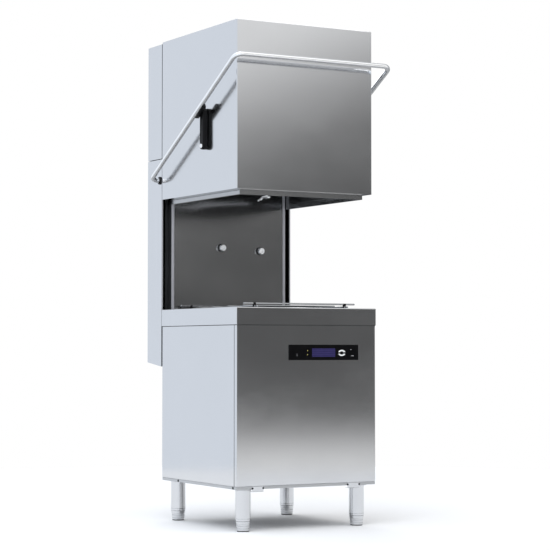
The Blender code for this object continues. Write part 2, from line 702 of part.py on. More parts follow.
def make_upper_manifold():
    """The pipe behind the back wall, over to the upper arms' hub."""
    column_y = 0.385
    route = rounded_path([(0, column_y, 0.700), (0, column_y, MANIFOLD_Z), (0, CHAMBER_Y, MANIFOLD_Z)],
                         0.035, 5)
    pipe = as_mesh(tube("upper_manifold", route, MANIFOLD_R, INNER_STEEL, resolution=4))
    top = MANIFOLD_Z + 0.012
    bottom = UPPER_RINSE_Z - 0.0105
    hub = rod("upper_hub", (0, CHAMBER_Y, MANIFOLD_Z - 0.002), 0.020, 0.030, cutter=True)
    spindle = rod("upper_spindle", (0, CHAMBER_Y, (top + bottom) / 2), SPINDLE_R, top - bottom,
                  cutter=True)
    nut = rod("upper_nut", (0, CHAMBER_Y, UPPER_RINSE_Z - 0.0095), NUT_R, 0.006, cutter=True,
              segments=6)
    weld(pipe, hub, spindle, nut)


def make_spray_arm(name, height, half_length, width, thickness, turn):
    """A spray arm: a flat beam with rounded ends and a bored hub, on the spindle."""
    half_w = width / 2
    tip = half_length - half_w
    points = arc((tip, 0), half_w, half_w, -90, 90, 6) + arc((-tip, 0), half_w, half_w, 90, 270, 6)
    arm = outline(name, points, thickness, STEEL, (0, CHAMBER_Y, height), Z_AXIS)
    hub = rod(name + "_hub", (0, CHAMBER_Y, height), 0.017, thickness + 0.002, cutter=True)
    bore = rod(name + "_bore", (0, CHAMBER_Y, height), ARM_BORE, 0.08, cutter=True)
    weld(arm, hub)
    cut(arm, bore)
    arm.rotation_euler = (0, 0, radians(turn))


def make_spray_arms():
    """Wash and rinse arms above and below the rack."""
    make_spray_arm("upper_wash_arm", UPPER_WASH_Z, WASH_ARM_HALF, 0.034, 0.012, 12)
    make_spray_arm("upper_rinse_arm", UPPER_RINSE_Z, RINSE_ARM_HALF, 0.016, 0.008, 68)
    make_spray_arm("lower_wash_arm", LOWER_WASH_Z, WASH_ARM_HALF, 0.034, 0.012, 20)
    make_spray_arm("lower_rinse_arm", LOWER_RINSE_Z, RINSE_ARM_HALF, 0.016, 0.008, 78)


FILTER_Z = 0.672
FILTER_HALF = 0.235


def make_tank_fittings():
    """Filter tray, overflow pipe and heating element, inside the tank."""
    tray = sheet_box("tank_filter", (-FILTER_HALF, CHAMBER_Y - FILTER_HALF, FILTER_Z),
                     (FILTER_HALF, CHAMBER_Y + FILTER_HALF, FILTER_Z + 0.020), INNER_STEEL, ("+Z",))
    riser_way = rod("filter_riser_way", (0, CHAMBER_Y, FILTER_Z), RISER_R + 0.008, 0.08, cutter=True)
    pipe_way = rod("filter_pipe_way", (OVERFLOW_X, OVERFLOW_Y, FILTER_Z), 0.019, 0.08, cutter=True)
    cut(tray, riser_way, pipe_way)
    profile = [(0, 0.790), (0.006, 0.790), (0.006, 0.768), (0.0155, 0.764), (0.0155, 0.570),
               (0.0175, 0.566), (0.0175, 0.552), (0.013, 0.548), (0.013, 0.755), (0, 0.755)]
    turned("overflow_pipe", profile, (OVERFLOW_X, OVERFLOW_Y, 0), INNER_STEEL)
    reach = 0.185
    rear = TANK_REAR - SHEET - 0.004
    inner = 0.150
    level = 0.645
    loop = rounded_path([(-0.045, rear, level), (-0.045, CHAMBER_Y + inner, level),
                         (-reach, CHAMBER_Y + inner, level), (-reach, CHAMBER_Y - inner, level),
                         (reach, CHAMBER_Y - inner, level), (reach, CHAMBER_Y + inner, level),
                         (0.045, CHAMBER_Y + inner, level), (0.045, rear, level)], 0.022, 4)
    tube("tank_heater", loop, 0.0045, SPRING_STEEL, resolution=1)


def make_boiler_and_drain():
    """The rinse boiler and the drain pump, low in the cabinet."""
    wall = 0.003
    port = 0.010
    outer = [(0, 0.150), (0.060, 0.146), (0.083, 0.125), (0.083, -0.125), (0.060, -0.146), (port, -0.150)]
    inner = [(port, -0.150 + wall), (0.060 - wall, -0.146 + wall), (0.083 - wall, -0.125 + wall),
             (0.083 - wall, 0.125 - wall), (0.060 - wall, 0.146 - wall), (0, 0.150 - wall)]
    turned("boiler", outer + inner, (0.175, -0.190, 0.375), STEEL, segments=24)
    body = turned("drain_pump", [(0, 0.030), (0.034, 0.030), (0.034, -0.030), (0.026, -0.034),
                                 (0.026, -0.085), (0, -0.085)],
                  (OVERFLOW_X, OVERFLOW_Y, 0.440), BLACK, segments=20)
    inlet = rod("drain_pump_inlet", (OVERFLOW_X, OVERFLOW_Y, 0.503), 0.015, 0.078, cutter=True)
    weld(body, inlet)


RACK_WIRE = 0.0035
RACK_Z = DECK_TOP + 0.016
RACK_HALF_L = 0.256
RACK_FRONT = FRONT + 0.060
RACK_REAR = FRONT + 0.600
RACK_POST_X = 0.207


def make_rack_frame():
    """The lift-out rack guide: two guide rods on posts, runners and cross rods."""
    wire = RACK_WIRE
    frame = rod("rack_frame", (0, RACK_FRONT, RACK_Z), wire, 2 * RACK_HALF_L, X_AXIS, CHROME, 8)
    pieces = [rod("rack_rear_guide", (0, RACK_REAR, RACK_Z), wire, 2 * RACK_HALF_L, X_AXIS,
                  segments=8, cutter=True)]
    low_z = DECK_TOP + wire + 0.0015
    middle = (RACK_FRONT + RACK_REAR) / 2
    for side in (-1, 1):
        x = side * RACK_POST_X
        length = RACK_REAR - RACK_FRONT + 0.016
        pieces.append(rod(f"rack_cross_{side_name(side)}", (x, middle, low_z), wire, length, Y_AXIS,
                          segments=8, cutter=True))
        for end, y in (("front", RACK_FRONT), ("rear", RACK_REAR)):
            pieces.append(block(f"rack_post_{end}_{side_name(side)}",
                                (x - 0.006, y - 0.005, DECK_TOP + GAP),
                                (x + 0.006, y + 0.005, RACK_Z + 0.0012), cutter=True))
    for k in range(4):
        y = middle + (k - 1.5) * 0.125
        pieces.append(rod(f"rack_runner_{k}", (0, y, low_z + 0.0043), wire, 2 * RACK_POST_X + 0.012,
                          X_AXIS, segments=8, cutter=True))
    weld(frame, *pieces)


# ---------------------------------------------------------------- hood and lift gear

CARRIAGE_INNER = 0.280
CARRIAGE_OUTER = 0.304
SHOE_INNER = 0.266


def make_hood():
    """Outer skin, inner liner with the bottom rim and the carriages in the rails."""
    shell = sheet_box("hood_shell", (-HOOD_HALF_W, HOOD_FRONT, HOOD_BOTTOM),
                      (HOOD_HALF_W, HOOD_REAR, HOOD_TOP), STEEL, ("-Z", "+Y"), bevel=0.003)
    notch_front = RAIL_FRONT - 0.002
    inner_half = HOOD_HALF_W - HOOD_WALL
    notch = block("hood_notch", (-inner_half, notch_front, HOOD_BOTTOM - 0.1),
                  (inner_half, HOOD_REAR + 0.01, HOOD_TOP + 0.1), cutter=True)
    cut(shell, notch)
    clear = SHEET + 0.0006
    inner_front = HOOD_FRONT + HOOD_WALL
    inner_top = HOOD_TOP - HOOD_WALL
    rear = HOOD_REAR - 0.0015
    rim_low = HOOD_BOTTOM - HOOD_LIP
    liner = block("hood_liner", (-inner_half - HOOD_RIM, inner_front - HOOD_RIM, rim_low),
                  (inner_half + HOOD_RIM, rear, HOOD_BOTTOM + CLOSING_HIGH / 2), INNER_STEEL)
    closing = block("liner_closing_plate", (-HOOD_HALF_W + clear, HOOD_FRONT + clear, HOOD_BOTTOM + CLOSING_LOW),
                    (HOOD_HALF_W - clear, rear, HOOD_BOTTOM + CLOSING_HIGH), cutter=True)
    skin = block("liner_skin", (-inner_half - SHEET, inner_front - SHEET, rim_low + 0.004),
                 (inner_half + SHEET, rear, inner_top + SHEET), cutter=True)
    back = block("liner_back_flange", (-HOOD_HALF_W + clear, rear - 0.004, HOOD_BOTTOM + CLOSING_LOW * 1.5),
                 (HOOD_HALF_W - clear, rear, HOOD_TOP - clear), cutter=True)
    top_flange = block("liner_top_flange", (-inner_half - 0.002, notch_front - 0.004, inner_top + SHEET / 2),
                       (inner_half + 0.002, notch_front - 0.0003, HOOD_TOP - clear), cutter=True)
    pieces = [closing, skin, back, top_flange]
    for side in (-1, 1):
        plate_x = span(side, CARRIAGE_INNER, CARRIAGE_OUTER)
        shoe_x = span(side, SHOE_INNER, CARRIAGE_OUTER - 0.004)
        for level, low_z, high_z, reach in (("lower", 1.335, 1.395, 0.374), ("upper", 1.900, 1.950, 0.332)):
            name = f"carriage_{level}_{side_name(side)}"
            pieces.append(block(name, (plate_x[0], rear - 0.003, low_z), (plate_x[1], reach, high_z),
                                cutter=True))
            pieces.append(block(name + "_shoe", (shoe_x[0], 0.300, low_z + 0.006),
                                (shoe_x[1], 0.330, high_z - 0.006), cutter=True))
    weld(liner, *pieces)
    cavity = block("liner_cavity", (-inner_half, inner_front, rim_low - 0.1),
                   (inner_half, rear + 0.001, inner_top), cutter=True)
    cut(liner, cavity, notch)
    made = [shell, liner]
    for side in (-1, 1):
        foot = 0.0004
        head = LINK_OUTER + 0.0006 - HOOD_HALF_W
        profile = [(0, head + 0.004), (0.006, head + 0.004), (0.009, head + 0.002), (0.009, head),
                   (0.005, head), (0.005, foot), (0, foot)]
        pin = turned(side_name(side) + "_link_pin", profile,
                     (side * HOOD_HALF_W, LINK_Y, LINK_PIN_Z), CHROME, X_AXIS, 20)
        pin.rotation_euler = (0, side * pi / 2, 0)
        made.append(pin)
    axis_empty("hood_slide_axis", (0, HOOD_REAR, HOOD_BOTTOM), *made)


def make_handle():
    """The bent-tube handle, the clamps on its arms and the bushes that it turns in."""
    arm_end = 0.3065
    corners = [(-arm_end, PIVOT_Y, PIVOT_Z), (-ARM_HALF_W, PIVOT_Y, PIVOT_Z),
               (-ARM_HALF_W, BAR_Y, BAR_Z), (ARM_HALF_W, BAR_Y, BAR_Z),
               (ARM_HALF_W, PIVOT_Y, PIVOT_Z), (arm_end, PIVOT_Y, PIVOT_Z)]
    pivot = (0, PIVOT_Y, PIVOT_Z)
    made = [tube("handle_bail", rounded_path(corners, 0.032, 6), TUBE_R, CHROME, pivot, resolution=4)]
    rise = atan2(BAR_Z - PIVOT_Z, PIVOT_Y - BAR_Y)
    arm_length = (PIVOT_Y - LINK_Y) / cos(rise) + 0.008
    centre = Vector((0, PIVOT_Y - arm_length * cos(rise), PIVOT_Z + arm_length * sin(rise)))
    for side in (-1, 1):
        name = side_name(side) + "_arm_clamp"
        low_x, high_x = span(side, LINK_OUTER + 0.001, ARM_HALF_W - 0.001)
        clamp = block(name, (low_x, -0.039, -0.013), (high_x, 0.039, 0.013), BLACK, origin=(0, 0, 0),
                      bevel=0.002)
        clamp.location = centre
        clamp.rotation_euler = (-rise, 0, 0)
        groove = rod(name + "_groove", (side * ARM_HALF_W, centre.y, centre.z), TUBE_R + 0.0004, 0.2,
                     Y_AXIS, cutter=True, segments=24)
        groove.rotation_euler = (-pi / 2 - rise, 0, 0)
        cut(clamp, groove)
        made.append(clamp)
    axis_empty("handle_axis", pivot, *made)
    for side in (-1, 1):
        low = -0.0029
        high = 0.0052
        bore = TUBE_R + 0.0005
        profile = [(BUSH_R - 0.001, high), (BUSH_R, high - 0.001), (BUSH_R, 0.0004), (SHANK_R, 0.0004),
                   (SHANK_R, low), (bore, low), (bore, high), (BUSH_R - 0.001, high)]
        bush = turned(side_name(side) + "_handle_bush", profile, (side * HOOD_HALF_W, PIVOT_Y, PIVOT_Z),
                      BLACK, X_AXIS, 24)
        bush.rotation_euler = (0, side * pi / 2, 0)


def make_links():
    """The links between the arms and the hood, each hung on its pin."""
    top = LINK_LENGTH
    middle = (LINK_INNER + LINK_OUTER) / 2
    points = (arc((0, 0), LINK_HALF_W, LINK_HALF_W, 180, 360, 8)
              + arc((0, top), LINK_HALF_W, LINK_HALF_W, 0, 180, 8))
    for side in (-1, 1):
        name = side_name(side) + "_link"
        link = outline(name, points, LINK_OUTER - LINK_INNER, BLACK,
                       (side * middle, LINK_Y, LINK_PIN_Z), X_AXIS)
        bore = rod(name + "_bore", (side * middle, LINK_Y, LINK_PIN_Z), 0.0054, 0.1, X_AXIS, cutter=True)
        cut(link, bore)


make_base_frame()
make_deck()
make_tank()
make_panels()
make_legs()
make_controls()
make_column()
make_back_panel()
make_springs()
make_condenser()
make_pump()
make_lower_manifold()
make_upper_manifold()
make_spray_arms()
make_tank_fittings()
make_boiler_and_drain()
make_rack_frame()
make_hood()
make_handle()
make_links()
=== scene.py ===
"""Looks of the pass-through hood-type dishwasher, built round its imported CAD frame.

Metres, +Z up, in the frame's own axes: the controls face -Y and X runs left to right.
Every mesh is made in the row frame with its object at the origin, so Object texture
coordinates are row-frame metres.
"""

import json
from math import atan2, cos, pi, radians, sin, tan

import bmesh
import bpy
from mathutils import Matrix, Vector


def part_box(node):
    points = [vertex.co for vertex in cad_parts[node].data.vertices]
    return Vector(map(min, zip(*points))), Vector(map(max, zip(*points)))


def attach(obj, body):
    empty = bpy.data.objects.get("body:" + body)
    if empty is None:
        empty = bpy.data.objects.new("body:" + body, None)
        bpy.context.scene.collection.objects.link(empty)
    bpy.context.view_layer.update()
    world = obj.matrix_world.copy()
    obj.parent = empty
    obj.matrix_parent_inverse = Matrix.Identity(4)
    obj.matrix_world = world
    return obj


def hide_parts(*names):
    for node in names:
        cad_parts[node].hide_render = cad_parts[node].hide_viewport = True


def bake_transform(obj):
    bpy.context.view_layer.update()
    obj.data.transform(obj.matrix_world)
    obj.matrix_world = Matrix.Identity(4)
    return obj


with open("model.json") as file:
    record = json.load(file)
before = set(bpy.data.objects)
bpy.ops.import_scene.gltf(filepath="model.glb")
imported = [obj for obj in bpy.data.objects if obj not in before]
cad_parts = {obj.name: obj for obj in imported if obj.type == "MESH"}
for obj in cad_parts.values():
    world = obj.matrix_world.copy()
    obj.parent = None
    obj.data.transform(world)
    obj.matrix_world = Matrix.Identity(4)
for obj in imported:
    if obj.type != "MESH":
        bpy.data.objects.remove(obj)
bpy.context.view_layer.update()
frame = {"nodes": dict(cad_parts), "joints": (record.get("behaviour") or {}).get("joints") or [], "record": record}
RECORD = frame["record"]
JOINTS = {joint["name"]: joint for joint in frame["joints"]}
SLOT_OF = {part["node"]: part["material_slot"] for part in RECORD["subparts"]}
SIDES = (("left", -1), ("right", 1))

# -------------------- camera, world and floor

CAMERA_PLACE = (-3.7207, -6.6062, 0.7043)
CAMERA_TILT = 2.31           # degrees above the horizon
CAMERA_TURN = 29.79          # degrees from +Y towards +X
CAMERA_LENS = 120.84

MIRROR_TURN = 30.7           # where the front faces send the camera's rays, from -Y towards +X
BAND_SLANT = 0.365           # the dark band's upper edge rises towards +X
BAND_LOW, BAND_HIGH = -0.08, 0.25    # the ramp's ends, as sines of the elevation
BAND_STOPS = ((-0.064, 1.0), (-0.059, 0.97), (-0.053, 0.8), (-0.048, 0.47), (-0.042, 0.17),
              (-0.036, 0.115), (-0.028, 0.104), (-0.018, 0.102), (0.012, 0.098), (0.075, 0.12),
              (0.1, 0.17), (0.119, 0.265), (0.139, 0.48), (0.159, 0.77), (0.172, 1.0))
BAND_GAIN = 1.05
NEUTRAL, COOL = (1.0, 1.0, 1.0, 1), (0.915, 0.975, 1.065, 1)
EAST_GREY = (0.42, 0.43, 0.45, 1)
LOW_GREY, HIGH_GREY = (0.13, 0.14, 0.155, 1), (0.34, 0.35, 0.37, 1)

LAMP_SIZE = 2.6
LAMP_AIM = Vector((0, 0, 0.9))
LAMPS = (("key_light", (-2.6, -2.8, 4.2), 62), ("rear_light", (1.5, 3.4, 4.0), 46))
FLOOR_RADIUS, FLOOR_THICKNESS = 3.6, 0.02


class Tree:
    """A helper that builds a node tree."""

    def __init__(self, tree):
        self.tree = tree
        self.tree.nodes.clear()

    def node(self, kind, settings=None, **values):
        """A node with its properties and its unlinked or linked inputs."""
        made = self.tree.nodes.new(kind)
        for key, value in (settings or {}).items():
            setattr(made, key, value)
        for key, value in values.items():
            self.feed(made, key, value)
        return made

    def feed(self, node, key, value):
        """Sets or links one input, named or numbered as i0, i1 and so on."""
        numbered = key[0] == "i" and key[1:].isdigit()
        socket = node.inputs[int(key[1:]) if numbered else key]
        if isinstance(value, bpy.types.NodeSocket):
            self.tree.links.new(value, socket)
        else:
            socket.default_value = value

    def math(self, operation, a, b=0.0):
        """The result of an operation on two numbers."""
        return self.node("ShaderNodeMath", {"operation": operation}, i0=a, i1=b).outputs[0]

    def vector(self, operation, a, b=(0, 0, 0)):
        """The vector result of an operation on two vectors."""
        made = self.node("ShaderNodeVectorMath", {"operation": operation}, i0=a, i1=b)
        return made.outputs["Vector"]

    def measure(self, operation, a, b=(0, 0, 0)):
        """The number that an operation on vectors gives, such as a dot product or a length."""
        made = self.node("ShaderNodeVectorMath", {"operation": operation}, i0=a, i1=b)
        return made.outputs["Value"]

    def rise(self, vector):
        """The Z part of a vector."""
        return self.node("ShaderNodeSeparateXYZ", i0=vector).outputs["Z"]

    def spread(self, value, low, high, to_low=0.0, to_high=1.0, smooth=False):
        """A value mapped from one range to another."""
        kind = {"interpolation_type": "SMOOTHSTEP" if smooth else "LINEAR"}
        return self.node("ShaderNodeMapRange", kind, i0=value, i1=low, i2=high,
                         i3=to_low, i4=to_high).outputs[0]

    def mix(self, share, a, b):
        """A colour between a and b."""
        return self.node("ShaderNodeMix", {"data_type": "RGBA"}, i0=share, i6=a, i7=b).outputs[2]

    def ramp(self, value, stops):
        """A grey ramp of (place, grey) stops."""
        made = self.node("ShaderNodeValToRGB", i0=value)
        marks = made.color_ramp.elements
        while len(marks) < len(stops):
            marks.new(0.5)
        for mark, (place, grey) in zip(marks, stops):
            mark.position = place
            mark.color = (grey, grey, grey, 1.0)
        return made.outputs["Color"]

    def noise(self, where, scale, detail, roughness, stretch=(1, 1, 1)):
        """Noise from 0 to 1, stretched along the axes."""
        place = self.vector("MULTIPLY", where, stretch)
        return self.node("ShaderNodeTexNoise", Vector=place, Scale=scale, Detail=detail,
                         Roughness=roughness).outputs[0]


def new_object(name, data):
    """An object in the scene."""
    made = bpy.data.objects.new(name, data)
    bpy.context.scene.collection.objects.link(made)
    return made


def make_camera():
    """The camera at the reference view of the machine."""
    data = bpy.data.cameras.new("camera")
    data.lens = CAMERA_LENS
    camera = new_object("camera", data)
    camera.location = CAMERA_PLACE
    camera.rotation_euler = (radians(90 + CAMERA_TILT), 0, radians(-CAMERA_TURN))
    bpy.context.scene.camera = camera


def make_world():
    """A bright studio with a dark bay ahead and to the right, which the front faces mirror."""
    world = bpy.data.worlds.new("studio")
    bpy.context.scene.world = world
    world.use_nodes = True
    t = Tree(world.node_tree)
    ray = t.node("ShaderNodeTexCoord").outputs["Generated"]
    height = t.rise(ray)
    turn = radians(MIRROR_TURN)

    def towards(x, y):
        """How far a ray points in a level direction."""
        return t.measure("DOT_PRODUCT", ray, (x, y, 0))

    ahead = towards(sin(turn), -cos(turn))
    across = towards(cos(turn), sin(turn))
    slanted = t.math("SUBTRACT", height, t.math("MULTIPLY", across, BAND_SLANT))
    upper = t.spread(t.math("MAXIMUM", height, 0.0), 0.02, 0.08)
    level = t.math("ADD", t.math("MULTIPLY", slanted, upper),
                   t.math("MULTIPLY", height, t.math("SUBTRACT", 1.0, upper)))
    stops = [((place - BAND_LOW) / (BAND_HIGH - BAND_LOW), grey) for place, grey in BAND_STOPS]
    bay = t.ramp(t.spread(level, BAND_LOW, BAND_HIGH), stops)
    bay = t.vector("MULTIPLY", bay, (BAND_GAIN,) * 3)
    west = t.spread(towards(-1, 0), -0.2, 0.5, smooth=True)
    bright = t.mix(west, NEUTRAL, COOL)
    flat = t.math("SQRT", t.math("SUBTRACT", 1.0, t.math("MULTIPLY", height, height)))
    east = t.math("DIVIDE", towards(0.94, 0.34), flat)
    bright = t.mix(t.spread(east, 0.55, 0.98, smooth=True), bright, EAST_GREY)
    room = t.mix(t.spread(t.math("DIVIDE", ahead, flat), 0.955, 0.988, smooth=True), bright, bay)
    behind = t.math("DIVIDE", towards(sin(turn), cos(turn)), flat)
    behind = t.math("MULTIPLY", t.spread(behind, 0.86, 0.97, smooth=True),
                    t.spread(height, 0.7, 0.9, 1.0, 0.0, smooth=True))
    dim = t.mix(t.spread(height, 0.08, 0.24, smooth=True), LOW_GREY, HIGH_GREY)
    room = t.mix(behind, room, dim)
    sky = t.spread(height, 0.3, 0.95, 1.0, 1.35, smooth=True)
    light = t.node("ShaderNodeBackground", Color=room, Strength=sky)
    seen = t.node("ShaderNodeBackground", Color=(1, 1, 1, 1), Strength=1.0)
    direct = t.node("ShaderNodeLightPath").outputs["Is Camera Ray"]
    both = t.node("ShaderNodeMixShader", i0=direct, i1=light.outputs[0], i2=seen.outputs[0])
    t.node("ShaderNodeOutputWorld", Surface=both.outputs[0])


def make_lights():
    """Soft boxes above the machine, for the floor and the highlights on the chrome."""
    for name, place, power in LAMPS:
        data = bpy.data.lights.new(name, "AREA")
        data.size = LAMP_SIZE
        data.energy = power
        lamp = new_object(name, data)
        lamp.location = place
        lamp.rotation_euler = (LAMP_AIM - Vector(place)).to_track_quat("-Z", "Y").to_euler()


# -------------------- materials

POLISHED, BRUSHED, BLACK = "polished_stainless", "brushed_stainless", "black_plastic"
FLAT_FROM = 0.7              # a face with more of its normal along Z than this lies flat
STEEL_COLOUR = (0.65, 0.658, 0.672)


def new_material(name):
    """An empty material: its tree, its shader and its surface coordinates."""
    made = bpy.data.materials.new(name)
    made.use_nodes = True
    t = Tree(made.node_tree)
    shader = t.node("ShaderNodeBsdfPrincipled")
    t.node("ShaderNodeOutputMaterial", Surface=shader.outputs[0])
    where = t.node("ShaderNodeTexCoord").outputs["Object"]
    return made, t, shader, where


def tint(colour, factor):
    """A colour made lighter or darker, with its alpha."""
    return (*(part * factor for part in colour), 1.0)


def coat(t, shader, colour, roughness):
    """Gives a surface its colour and its roughness."""
    t.feed(shader, "Base Color", colour)
    t.feed(shader, "Roughness", roughness)


def emboss(t, shader, height, strength, depth=0.0003):
    """Small relief from a height pattern."""
    bump = t.node("ShaderNodeBump", Height=height, Strength=strength, Distance=depth)
    t.feed(shader, "Normal", bump.outputs[0])


def brushed_metal(name, colour, roughness, anisotropy, relief=0.06, smudge=0.03):
    """Sheet ground in one direction: upright on walls and front to back on flat tops."""
    made, t, shader, where = new_material(name)
    t.feed(shader, "Metallic", 1.0)
    t.feed(shader, "Anisotropic", anisotropy)
    normal = t.node("ShaderNodeNewGeometry").outputs["Normal"]
    flat = t.math("GREATER_THAN", t.math("ABSOLUTE", t.rise(normal)), FLAT_FROM)
    upright = t.noise(where, 1.0, 3.0, 0.6, (1300, 1300, 9))
    along = t.noise(where, 1.0, 3.0, 0.6, (1300, 9, 1300))
    grain = t.node("ShaderNodeMix", {"data_type": "FLOAT"}, i0=flat, i2=upright, i3=along)
    grain = grain.outputs[0]
    streak = t.noise(where, 1.0, 2.0, 0.5, (70, 70, 2.2))
    cloud = t.noise(where, 5.0, 3.0, 0.55)
    wiped = t.noise(where, 2.2, 4.0, 0.6, (1, 1, 1.8))
    shade = t.mix(grain, tint(colour, 0.965), tint(colour, 1.03))
    shade = t.mix(t.spread(streak, 0.3, 0.7, 0.0, 0.5), shade, tint(colour, 0.985))
    shade = t.mix(t.spread(cloud, 0.35, 0.75, 0.0, 0.3), shade, tint(colour, 0.955))
    worn = t.math("ADD", t.spread(grain, 0.2, 0.8, roughness - 0.012, roughness + 0.012),
                  t.spread(wiped, 0.35, 0.75, 0.0, smudge, smooth=True))
    coat(t, shader, shade, worn)
    sideways = t.vector("CROSS_PRODUCT", normal, (0, 0, 1))
    t.feed(shader, "Tangent", t.vector("ADD", sideways, (0.001, 0, 0)))
    emboss(t, shader, grain, relief, 0.0001)
    return made


def polished_metal(name, colour, roughness, underside_shade=0.0):
    """Polished bar and sheet with faint haze and water spots; an optional strength darkens the faces that point
    down, as painted shade.
    """
    made, t, shader, where = new_material(name)
    t.feed(shader, "Metallic", 1.0)
    haze = t.noise(where, 18.0, 3.0, 0.6)
    spots = t.noise(where, 140.0, 2.0, 0.5)
    shade = t.mix(haze, tint(colour, 0.97), tint(colour, 1.02))
    # painted shade: faces that point down are darkened towards a sixth of the colour, with a noisy edge
    if underside_shade:
        normal = t.node("ShaderNodeNewGeometry").outputs["Normal"]
        down = t.math("MULTIPLY", t.rise(normal), -1.0)
        under = t.math("ADD", down, t.spread(haze, 0.3, 0.7, -0.06, 0.06))
        share = t.spread(under, 0.3, 0.62, 0.0, underside_shade, smooth=True)
        shade = t.mix(share, shade, tint(colour, 0.16))
    shine = t.math("ADD", t.spread(haze, 0.3, 0.7, roughness, roughness + 0.03),
                   t.spread(spots, 0.62, 0.75, 0.0, 0.05))
    coat(t, shader, shade, shine)
    emboss(t, shader, haze, 0.04, 0.0002)
    return made


def moulded_plastic(name, colour, roughness, grain_scale, relief, specular=0.5):
    """Moulded plastic with a fine texture and slight scuffing."""
    made, t, shader, where = new_material(name)
    t.feed(shader, "Specular IOR Level", specular)
    grain = t.noise(where, grain_scale, 2.0, 0.6)
    scuff = t.noise(where, 60.0, 3.0, 0.6, (1, 1, 0.4))
    coat(t, shader, t.mix(scuff, tint(colour, 0.85), tint(colour, 1.25)),
         t.spread(scuff, 0.3, 0.75, roughness - 0.05, roughness + 0.08))
    emboss(t, shader, grain, relief)
    return made


def coated_metal(name, colour, roughness):
    """Paint on a casting: soft orange peel and an uneven, dusty tone."""
    made, t, shader, where = new_material(name)
    peel = t.noise(where, 420.0, 2.0, 0.5)
    dust = t.noise(where, 14.0, 4.0, 0.65)
    coat(t, shader, t.mix(t.spread(dust, 0.35, 0.8), tint(colour, 0.9), tint(colour, 1.35)),
         t.spread(dust, 0.3, 0.8, roughness - 0.04, roughness + 0.12))
    emboss(t, shader, peel, 0.3)
    return made


def display_material(name):
    """A dark blue backlit window with rows of faint, empty character cells."""
    made, t, shader, where = new_material(name)
    parts = t.node("ShaderNodeSeparateXYZ", i0=where)

    def inside(axis, pitch, half):
        """One where a place lies in the middle of its cell along an axis."""
        cell_place = t.math("FRACT", t.math("DIVIDE", parts.outputs[axis], pitch))
        return t.math("LESS_THAN", t.math("ABSOLUTE", t.math("SUBTRACT", cell_place, 0.5)), half)

    cell = t.math("MULTIPLY", inside("X", 0.0052, 0.34), inside("Z", 0.0085, 0.36))
    glow = t.noise(where, 55.0, 2.0, 0.5, (1, 1, 2))
    back = t.mix(glow, (0.012, 0.011, 0.045, 1), (0.022, 0.018, 0.075, 1))
    lit = t.mix(t.math("MULTIPLY", cell, 0.55), back, (0.042, 0.034, 0.125, 1))
    coat(t, shader, lit, t.spread(glow, 0.0, 1.0, 0.08, 0.16))
    t.feed(shader, "Emission Color", lit)
    t.feed(shader, "Emission Strength", 0.15)
    return made


def perforated_metal(name, colour, roughness, pitch, hole):
    """Sheet with a square grid of round holes that are not cut: they are near-black dots of painted shade with a
    bump at their edges.
    """
    made, t, shader, where = new_material(name)
    t.feed(shader, "Metallic", 1.0)
    cell = t.vector("FRACTION", t.vector("DIVIDE", where, (pitch,) * 3))
    cell = t.vector("SUBTRACT", cell, (0.5, 0.5, 0.5))
    plane = t.vector("MULTIPLY", cell, (1, 1, 0))
    flat = t.math("ABSOLUTE", t.rise(t.node("ShaderNodeNewGeometry").outputs["Normal"]))
    edge = hole / pitch / 2
    solid = t.spread(t.measure("LENGTH", plane), edge - 0.04, edge + 0.04)
    solid = t.math("MAXIMUM", solid, t.math("LESS_THAN", flat, FLAT_FROM))
    cloud = t.noise(where, 20.0, 3.0, 0.6)
    sheet = t.mix(cloud, tint(colour, 0.92), tint(colour, 1.04))
    # painted shade: the holes are filled with near-black, standing in for the dark below the sheet
    coat(t, shader, t.mix(solid, (0.012, 0.012, 0.013, 1), sheet),
         t.spread(cloud, 0.3, 0.7, roughness, roughness + 0.08))
    emboss(t, shader, solid, 0.5, 0.0006)
    return made


def glowing(name, colour, strength):
    """A small lit lens."""
    made, t, shader, where = new_material(name)
    core = t.noise(where, 300.0, 1.0, 0.5)
    shade = t.mix(core, tint(colour, 0.8), tint(colour, 1.1))
    coat(t, shader, shade, t.spread(core, 0.0, 1.0, 0.2, 0.35))
    t.feed(shader, "Emission Color", shade)
    t.feed(shader, "Emission Strength", strength)
    return made


def floor_material():
    """A pale seamless floor, very slightly uneven."""
    made, t, shader, where = new_material("pale_floor")
    cloud = t.noise(where, 0.8, 3.0, 0.6)
    coat(t, shader, t.mix(cloud, (0.925, 0.925, 0.925, 1), (0.94, 0.94, 0.94, 1)),
         t.spread(cloud, 0.3, 0.7, 0.85, 0.95))
    t.feed(shader, "Specular IOR Level", 0.1)
    return made


LOOKS = {name: make(name, *values) for make, name, *values in (
    (brushed_metal, BRUSHED, STEEL_COLOUR, 0.105, 0.6),
    # painted shade: the chamber's stainless is the same steel made darker than STEEL_COLOUR, standing in for the
    # shade under the hood
    (brushed_metal, "chamber_stainless", (0.42, 0.425, 0.43), 0.15, 0.5, 0.08),
    (polished_metal, POLISHED, (0.83, 0.84, 0.85), 0.07),
    (brushed_metal, "frame_steel", (0.5, 0.51, 0.52), 0.34, 0.3, 0.15, 0.1),
    (moulded_plastic, BLACK, (0.004, 0.004, 0.0045), 0.36, 900.0, 0.25, 0.12),
    (moulded_plastic, "fascia_plastic", (0.0035, 0.0035, 0.004), 0.17, 2200.0, 0.03, 0.08),
    (moulded_plastic, "white_plastic", (0.72, 0.73, 0.72), 0.35, 1200.0, 0.1),
    (display_material, "display_glass"),
    (coated_metal, "motor_paint", (0.055, 0.062, 0.075), 0.45),
    (brushed_metal, "aluminium_fins", (0.72, 0.73, 0.75), 0.35, 0.4, 0.15),
    (polished_metal, "spring_steel", (0.42, 0.42, 0.43), 0.28),
)}
